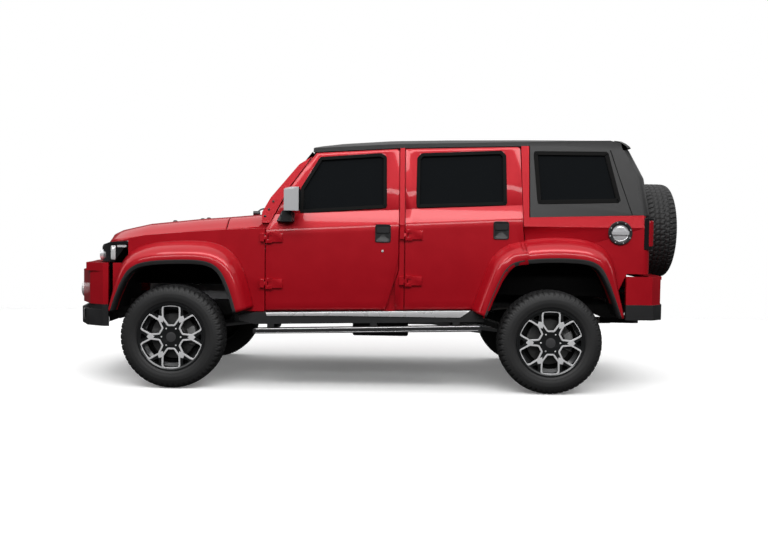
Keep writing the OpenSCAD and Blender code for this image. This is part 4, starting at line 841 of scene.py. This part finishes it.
# Lamps. Gloss black housings in front, each with a reflector bar, a corner bar and two
# projectors, their clear covers not built; behind, black housings that wrap the corner with a red
# lens.
lamp_black = finish("lamp_black", (0.008, 0.008, 0.009), rough=0.12, grain=0.05, Coat_Weight=0.8)
lamp_chrome = finish("lamp_reflector", (0.80, 0.81, 0.82), metallic=0.4, rough=0.16, mottle=0.02)
lamp_red = finish("lamp_red", (0.30, 0.004, 0.010), rough=0.16, grain=0.4, grain_scale=240,
                  Coat_Weight=1.0, Coat_Roughness=0.03)
softened("lamps", [lamp_black], edge=0.006, steps=3)
gate_x, lens_z = 3.416, (1.078, 1.272)
for side, sign in (("left", -1), ("right", 1)):
    bars = [(plate(-0.4640, -0.4300, 0.930, 1.030, 0.8292, 0.0030, 0.0012, sign), 1, False, True),
            (plate(-0.4180, -0.3500, 1.020, 1.036, 0.8292, 0.0030, 0.0012, sign), 1, False, True)]
    for y, x in ((0.615, -0.5895), (0.695, -0.5680)):
        projector = turned([(0.0, 0.0), (0.020, 0.002), (0.026, 0.007), (0.036, 0.009),
                            (0.040, 0.003), (0.040, -0.03), (0.0, -0.03)],
                           (x - 0.001, sign * y, 0.960), (-1, 0, 0), 32)
        bars.append((projector, 1, True, False))
    build(f"{side}_headlamp_optics", bars, "chassis", "lamp_clear", [lamp_black, lamp_chrome],
          sharp=40)
    turn = np.linspace(0, np.pi / 2, 7)
    corner = [(gate_x + 0.034, 0.705), (gate_x + 0.034, 0.8385)]
    corner += [(gate_x + 0.037 + 0.0385 * np.sin(a), 0.8000 + 0.0385 * np.cos(a)) for a in turn]
    corner += [(gate_x + 0.0755, 0.705)]
    corner = np.array(corner)
    middle = corner.mean(0)
    levels = [(0.0, lens_z[0] + 0.010), (0.90, lens_z[0]), (1.0, lens_z[0] + 0.008),
              (1.012, lens_z[0] + 0.02), (1.012, lens_z[1] - 0.02), (1.0, lens_z[1] - 0.008),
              (0.90, lens_z[1]), (0.0, lens_z[1] - 0.010)]
    lens = on_side([np.insert(middle + (corner - middle) * s, 2, z, axis=1) for s, z in levels],
                   sign)
    build(f"{side}_tail_lens", [(lens, 0, False, True)], "chassis", "lamp_clear", [lamp_red],
          sharp=35)

# Mirrors. Chromed cap over a black base and arm, with a silvered pane facing rearwards.
pane_silver = finish("mirror_pane", (0.7, 0.72, 0.74), metallic=1.0, rough=0.03, rough_spread=0.01)
for side in ("left", "right"):
    softened(f"{side}_mirror", [satin_black, chrome_and_painted_reflection], edge=0.030, steps=5,
             choose=lambda c: (c[:, 2] > 1.330) & (c[:, 0] < 0.915) | (c[:, 2] > 1.46))
    sign = -1 if side == "left" else 1
    grid = np.array([[[0.9312, sign * y, z] for y in (0.912, 0.974, 1.032)]
                     for z in (1.316, 1.385, 1.456)])
    build(f"{side}_mirror_pane", [(grid, 0, False, False)],
          nodes[f"{side}_mirror"]["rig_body"], "mirror_chrome", [pane_silver], hint=(1, 0, 0))

# Fuel filler, on the left quarter: a black ring with eight screws round a bright cap that has a
# raised grip bar.
fuel = (3.242, -0.836, 1.176)
ring = turned([(0.0600, 0.0), (0.0600, 0.0095), (0.0640, 0.0120), (0.0840, 0.0105),
               (0.0870, 0.0070), (0.0870, -0.004), (0.0600, -0.004)], fuel, (0, -1, 0), 72)
disc = turned([(0.0, 0.0060), (0.030, 0.0060), (0.046, 0.0050), (0.0535, 0.0030),
               (0.0595, 0.0050), (0.0605, 0.0), (0.0, 0.0)], fuel, (0, -1, 0), 72)
screw = [(0.0, 0.0142), (0.0042, 0.0138), (0.0052, 0.0115), (0.0052, 0.006), (0.0, 0.006)]
screws = []
for a in np.arange(8) * np.pi / 4 + 0.3:
    place = (fuel[0] + 0.0765 * np.cos(a), fuel[1], fuel[2] + 0.0765 * np.sin(a))
    screws.append((turned(screw, place, (0, -1, 0), 6), 1, True, False))
grip = plate(3.178, 3.306, 1.163, 1.190, 0.841, 0.010, 0.004, -1)
build("fuel_filler",
      [(ring, 0, True, True), (disc, 1, True, False), (grip, 1, False, True)] + screws,
      "chassis", "mirror_chrome", [satin_black, chrome_and_painted_reflection], sharp=38)


# Sills and steps. Black cladding, a bright strip along the sill that widens to a point at its
# rear end, and a tubular step with bright top and bottom edges and ribbed treads.
def long_strip(top, bottom, y, rise, sign):
    """Flat strip along the body side between two lines of (x, z) points, with bevelled rims."""
    t = np.linspace(0, 1, 60)
    a, b = (np.stack([np.interp(t, np.linspace(0, 1, len(line)), axis) for axis in zip(*line)], 1)
            for line in (top, bottom))
    rows = [(0.0, -0.004), (0.0, rise - 0.0015), (0.12, rise), (0.88, rise), (1.0, rise - 0.0015),
            (1.0, -0.004)]
    grid = [np.stack([*(a * (1 - s) + b * s).T, np.full(len(t), y + h)], 1)[:, [0, 2, 1]]
            for s, h in rows]
    return on_side(np.array(grid), sign)


# Partly painted reflection: the bright trim is only partly metallic, so its pale base colour lights
# up where real polished metal would show reflected studio light.
step_bright_and_painted_reflection = finish("step_bright_and_painted_reflection", (0.66, 0.66, 0.67), metallic=0.35, rough=0.28, grain=0.15,
                     grain_scale=700, mottle=0.03)
softened("side_steps", [trim_black], edge=0.012, steps=3)
for side, sign in (("left", -1), ("right", 1)):
    strip = long_strip([(0.681, 0.561), (1.180, 0.574), (1.680, 0.586), (2.165, 0.597)],
                       [(0.688, 0.537), (1.180, 0.545), (1.680, 0.546), (2.093, 0.546)],
                       0.8670, 0.006, sign)
    build(f"{side}_sill_strip", [(strip, 0, True, False)], "chassis", "mirror_chrome",
          [step_bright_and_painted_reflection])
    step_z = lambda x: 0.449 + 0.0275 * (x - 0.600)
    edge_ = []
    for high_ in (0.001, -0.030):
        edge_.append((tube([(x, sign * 0.9475, step_z(x) + high_ * 0.9 - 0.002)
                            for x in np.linspace(0.607, 2.233, 12)], 0.0042, 8), 0, False, True))
    build(f"{side}_step_edges", edge_, "chassis", "mirror_chrome", [step_bright_and_painted_reflection], sharp=60)
    x = np.linspace(0.66, 2.18, 381)
    ribs = 0.0012 * (np.sin(x * 2 * np.pi / 0.016) > 0)
    pads = np.array([[[x[i], sign * y, step_z(x[i]) + 0.0005 + ribs[i] * (0.862 < y < 0.925)]
                      for i in range(len(x))] for y in (0.860, 0.864, 0.890, 0.923, 0.927)])
    build(f"{side}_step_tread", [(pads, 0, False, False)], "chassis", "cladding_plastic",
          [seal_rubber], hint=(0, 0, 1), sharp=20)

# Bumper fittings. Round fog lamps sunk in the front bumper's corners and a silver lip that wraps
# the lower bumper.
silver = finish("silver_trim", (0.62, 0.62, 0.63), metallic=0.4, rough=0.3, grain=0.1, mottle=0.03)
front_ = (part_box("front_bumper")[0].x - front_axle)
for side, sign in (("left", -1), ("right", 1)):
    fog = turned([(0.0, 0.004), (0.030, 0.002), (0.040, -0.004), (0.044, -0.006), (0.046, 0.004),
                  (0.052, 0.007), (0.058, 0.003), (0.058, -0.05), (0.0, -0.05)],
                 (front_ + 0.038, sign * 0.500, 0.690), (-1, 0, 0), 40)
    build(f"{side}_fog_lamp", [(fog, 0, True, False)], "chassis", "lamp_clear", [lamp_chrome],
          sharp=35)
plan = np.array([(front_ + 0.012, 0.0), (front_ + 0.012, -0.320), (front_ + 0.054, -0.560),
                 (-0.6985, -0.700)])
for side, sign in (("left", 1), ("right", -1)):
    run = np.r_[0, np.cumsum(np.hypot(*np.diff(plan[1:], axis=0).T))]
    at = np.linspace(0.06, run[-1] - 0.012, 24)
    line = np.stack([np.interp(at, run, plan[1:, k]) for k in (0, 1)], 1)
    step = np.gradient(line, axis=0)
    normal = np.stack([step[:, 1], -step[:, 0]], 1) / np.hypot(*step.T)[:, None]
    rows = [(0.474, -0.004), (0.474, 0.0030), (0.480, 0.0050), (0.548, 0.0050), (0.554, 0.0030),
            (0.554, -0.004)]
    grid = np.array([[[*(p + n * off), z] for p, n in zip(line, normal)] for z, off in rows])
    grid[..., 1] *= sign
    build(f"{side}_bumper_lip", [(grid, 0, True, False)], "chassis", "mirror_chrome", [silver])

# Grille panel and tailgate. Body-colour panel with five dark slots; a rear gate with a bonded
# pane, a black carrier and exposed hinges.
softened("grille_panel", [paint, trim_black], edge=0.006, steps=3,
         choose=lambda c: (c[:, 0] > -0.5955) & (np.abs(c[:, 1]) < 0.36) & (c[:, 2] > 0.895))
softened("tailgate", [paint, trim_black, hard_top_black], edge=0.006, steps=3,
         choose=lambda c: np.where(c[:, 2] > 1.306, 2, ((c[:, 0] > 3.4745)
                                                        & (np.abs(c[:, 1]) < 0.17)).astype(int)))
# The tailgate pane gets the same near-black glass, its dark colour painted shade of the cabin
# behind it.
nodes["tailgate_glass"].data.materials.clear()
nodes["tailgate_glass"].data.materials.append(glass_painted_cabin_shade)

# Cabin. Moulded dashboard and consoles with the steering wheel, and padded seats in woven cloth:
# two in front and a bench behind, each with cushion, back and headrest.
softened("dashboard", [cabin_grey], edge=0.008, steps=3)
seat_cloth = bpy.data.materials.new("seat_weave")
seat_cloth.use_nodes = True
tree = seat_cloth.node_tree
shader = tree.nodes["Principled BSDF"]
place = tree.nodes.new("ShaderNodeTexCoord")
weave = []
for axis in ("X", "Z"):
    wave = tree.nodes.new("ShaderNodeTexWave")
    wave.wave_type, wave.bands_direction = "BANDS", axis
    wave.inputs["Scale"].default_value = 190
    wave.inputs["Distortion"].default_value = 0.4
    tree.links.new(place.outputs["Object"], wave.inputs["Vector"])
    weave.append(wave)
cross = tree.nodes.new("ShaderNodeMath")
cross.operation = "MULTIPLY"
for index, wave in enumerate(weave):
    tree.links.new(wave.outputs["Fac"], cross.inputs[index])
shade = tree.nodes.new("ShaderNodeValToRGB")
shade.color_ramp.elements[0].color = (0.030, 0.030, 0.032, 1)
shade.color_ramp.elements[1].color = (0.062, 0.061, 0.062, 1)
tree.links.new(cross.outputs[0], shade.inputs["Fac"])
tree.links.new(shade.outputs["Color"], shader.inputs["Base Color"])
bump = tree.nodes.new("ShaderNodeBump")
bump.inputs["Strength"].default_value = 0.5
bump.inputs["Distance"].default_value = 0.001
tree.links.new(cross.outputs[0], bump.inputs["Height"])
tree.links.new(bump.outputs["Normal"], shader.inputs["Normal"])
shader.inputs["Roughness"].default_value = 0.85
shader.inputs["Sheen Weight"].default_value = 0.3


def cushion(name, centre, size, lean_, crown, voxel):
    """Padded block: a superellipsoid grid within size, leaned about the y axis, crowned, then
    blown up as cloth under pressure with its vertices held near where they began."""
    u = np.linspace(-np.pi / 2, np.pi / 2, 25)[:, None]
    v = np.linspace(0, 2 * np.pi, 49)[None, :-1]

    def power(w, p):
        """w to a power, its sign kept."""
        return np.sign(w) * np.abs(w) ** p

    x = power(np.cos(u), 0.35) * power(np.cos(v), 0.28)
    y = power(np.cos(u), 0.35) * power(np.sin(v), 0.28)
    z = power(np.sin(u), 0.45) * np.ones_like(v)
    grid = np.stack([x, y, z], -1) * (np.array(size) / 2 - crown)
    c, s = math.cos(lean_), math.sin(lean_)
    grid = grid @ np.array([[c, 0, -s], [0, 1, 0], [s, 0, c]]) + centre
    piece = build(name, [(grid, 0, False, True)], "chassis", "seat_fabric", [seat_cloth], sharp=180)
    finer = piece.modifiers.new("voxels", "REMESH")
    finer.mode, finer.voxel_size = "VOXEL", voxel
    baked = bpy.data.meshes.new_from_object(piece.evaluated_get(
        bpy.context.evaluated_depsgraph_get()))
    piece.modifiers.clear()
    piece.data = baked
    start = np.empty(len(baked.vertices) * 3)
    baked.vertices.foreach_get("co", start)
    cloth = piece.modifiers.new("padding", "CLOTH")
    cloth.settings.use_pressure = True
    cloth.settings.uniform_pressure_force = 4
    cloth.settings.effector_weights.gravity = 0
    for frame_number in range(1, 21):
        scene.frame_set(frame_number)
    blown = bpy.data.meshes.new_from_object(piece.evaluated_get(
        bpy.context.evaluated_depsgraph_get()))
    end = np.empty(len(blown.vertices) * 3)
    blown.vertices.foreach_get("co", end)
    shift = (end - start).reshape(-1, 3)
    length = np.linalg.norm(shift, axis=1)[:, None]
    shift *= np.minimum(1, crown / np.maximum(length, 1e-9))
    baked.vertices.foreach_set("co", (start.reshape(-1, 3) + shift).ravel())
    piece.modifiers.clear()
    scene.frame_set(1)
    piece.data.materials.clear()
    piece.data.materials.append(seat_cloth)
    smoother = piece.modifiers.new("smoother", "SUBSURF")
    smoother.levels = smoother.render_levels = 1
    return settle(piece, "chassis", sharp=180)


lean_back = math.radians(14)
for name, x, y, width, base in (("left", 1.140, -0.370, 0.480, 0.760),
                                ("right", 1.140, 0.370, 0.480, 0.760),
                                ("rear", 1.860, 0.0, 1.240, 0.770)):
    fine = 0.010 if width < 1 else 0.014
    last_cushion = cushion(f"{name}_seat_cushion", (x + 0.26, y, base + 0.075),
                           (0.520, width, 0.150), 0.0, 0.010, fine)
    cushion(f"{name}_seat_back", (x + 0.475 + 0.30 * math.sin(lean_back), y, base + 0.10 + 0.30),
            (0.110, width, 0.600), lean_back, 0.010, fine)
    for ending, spot in ((("", 0.0),) if width < 1 else (("_left", -0.37), ("_right", 0.37))):
        cushion(f"{name}_headrest{ending}", (x + 0.616, y + spot, base + 0.752),
                (0.080, 0.250, 0.160), lean_back, 0.006, 0.008)
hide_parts("seats")
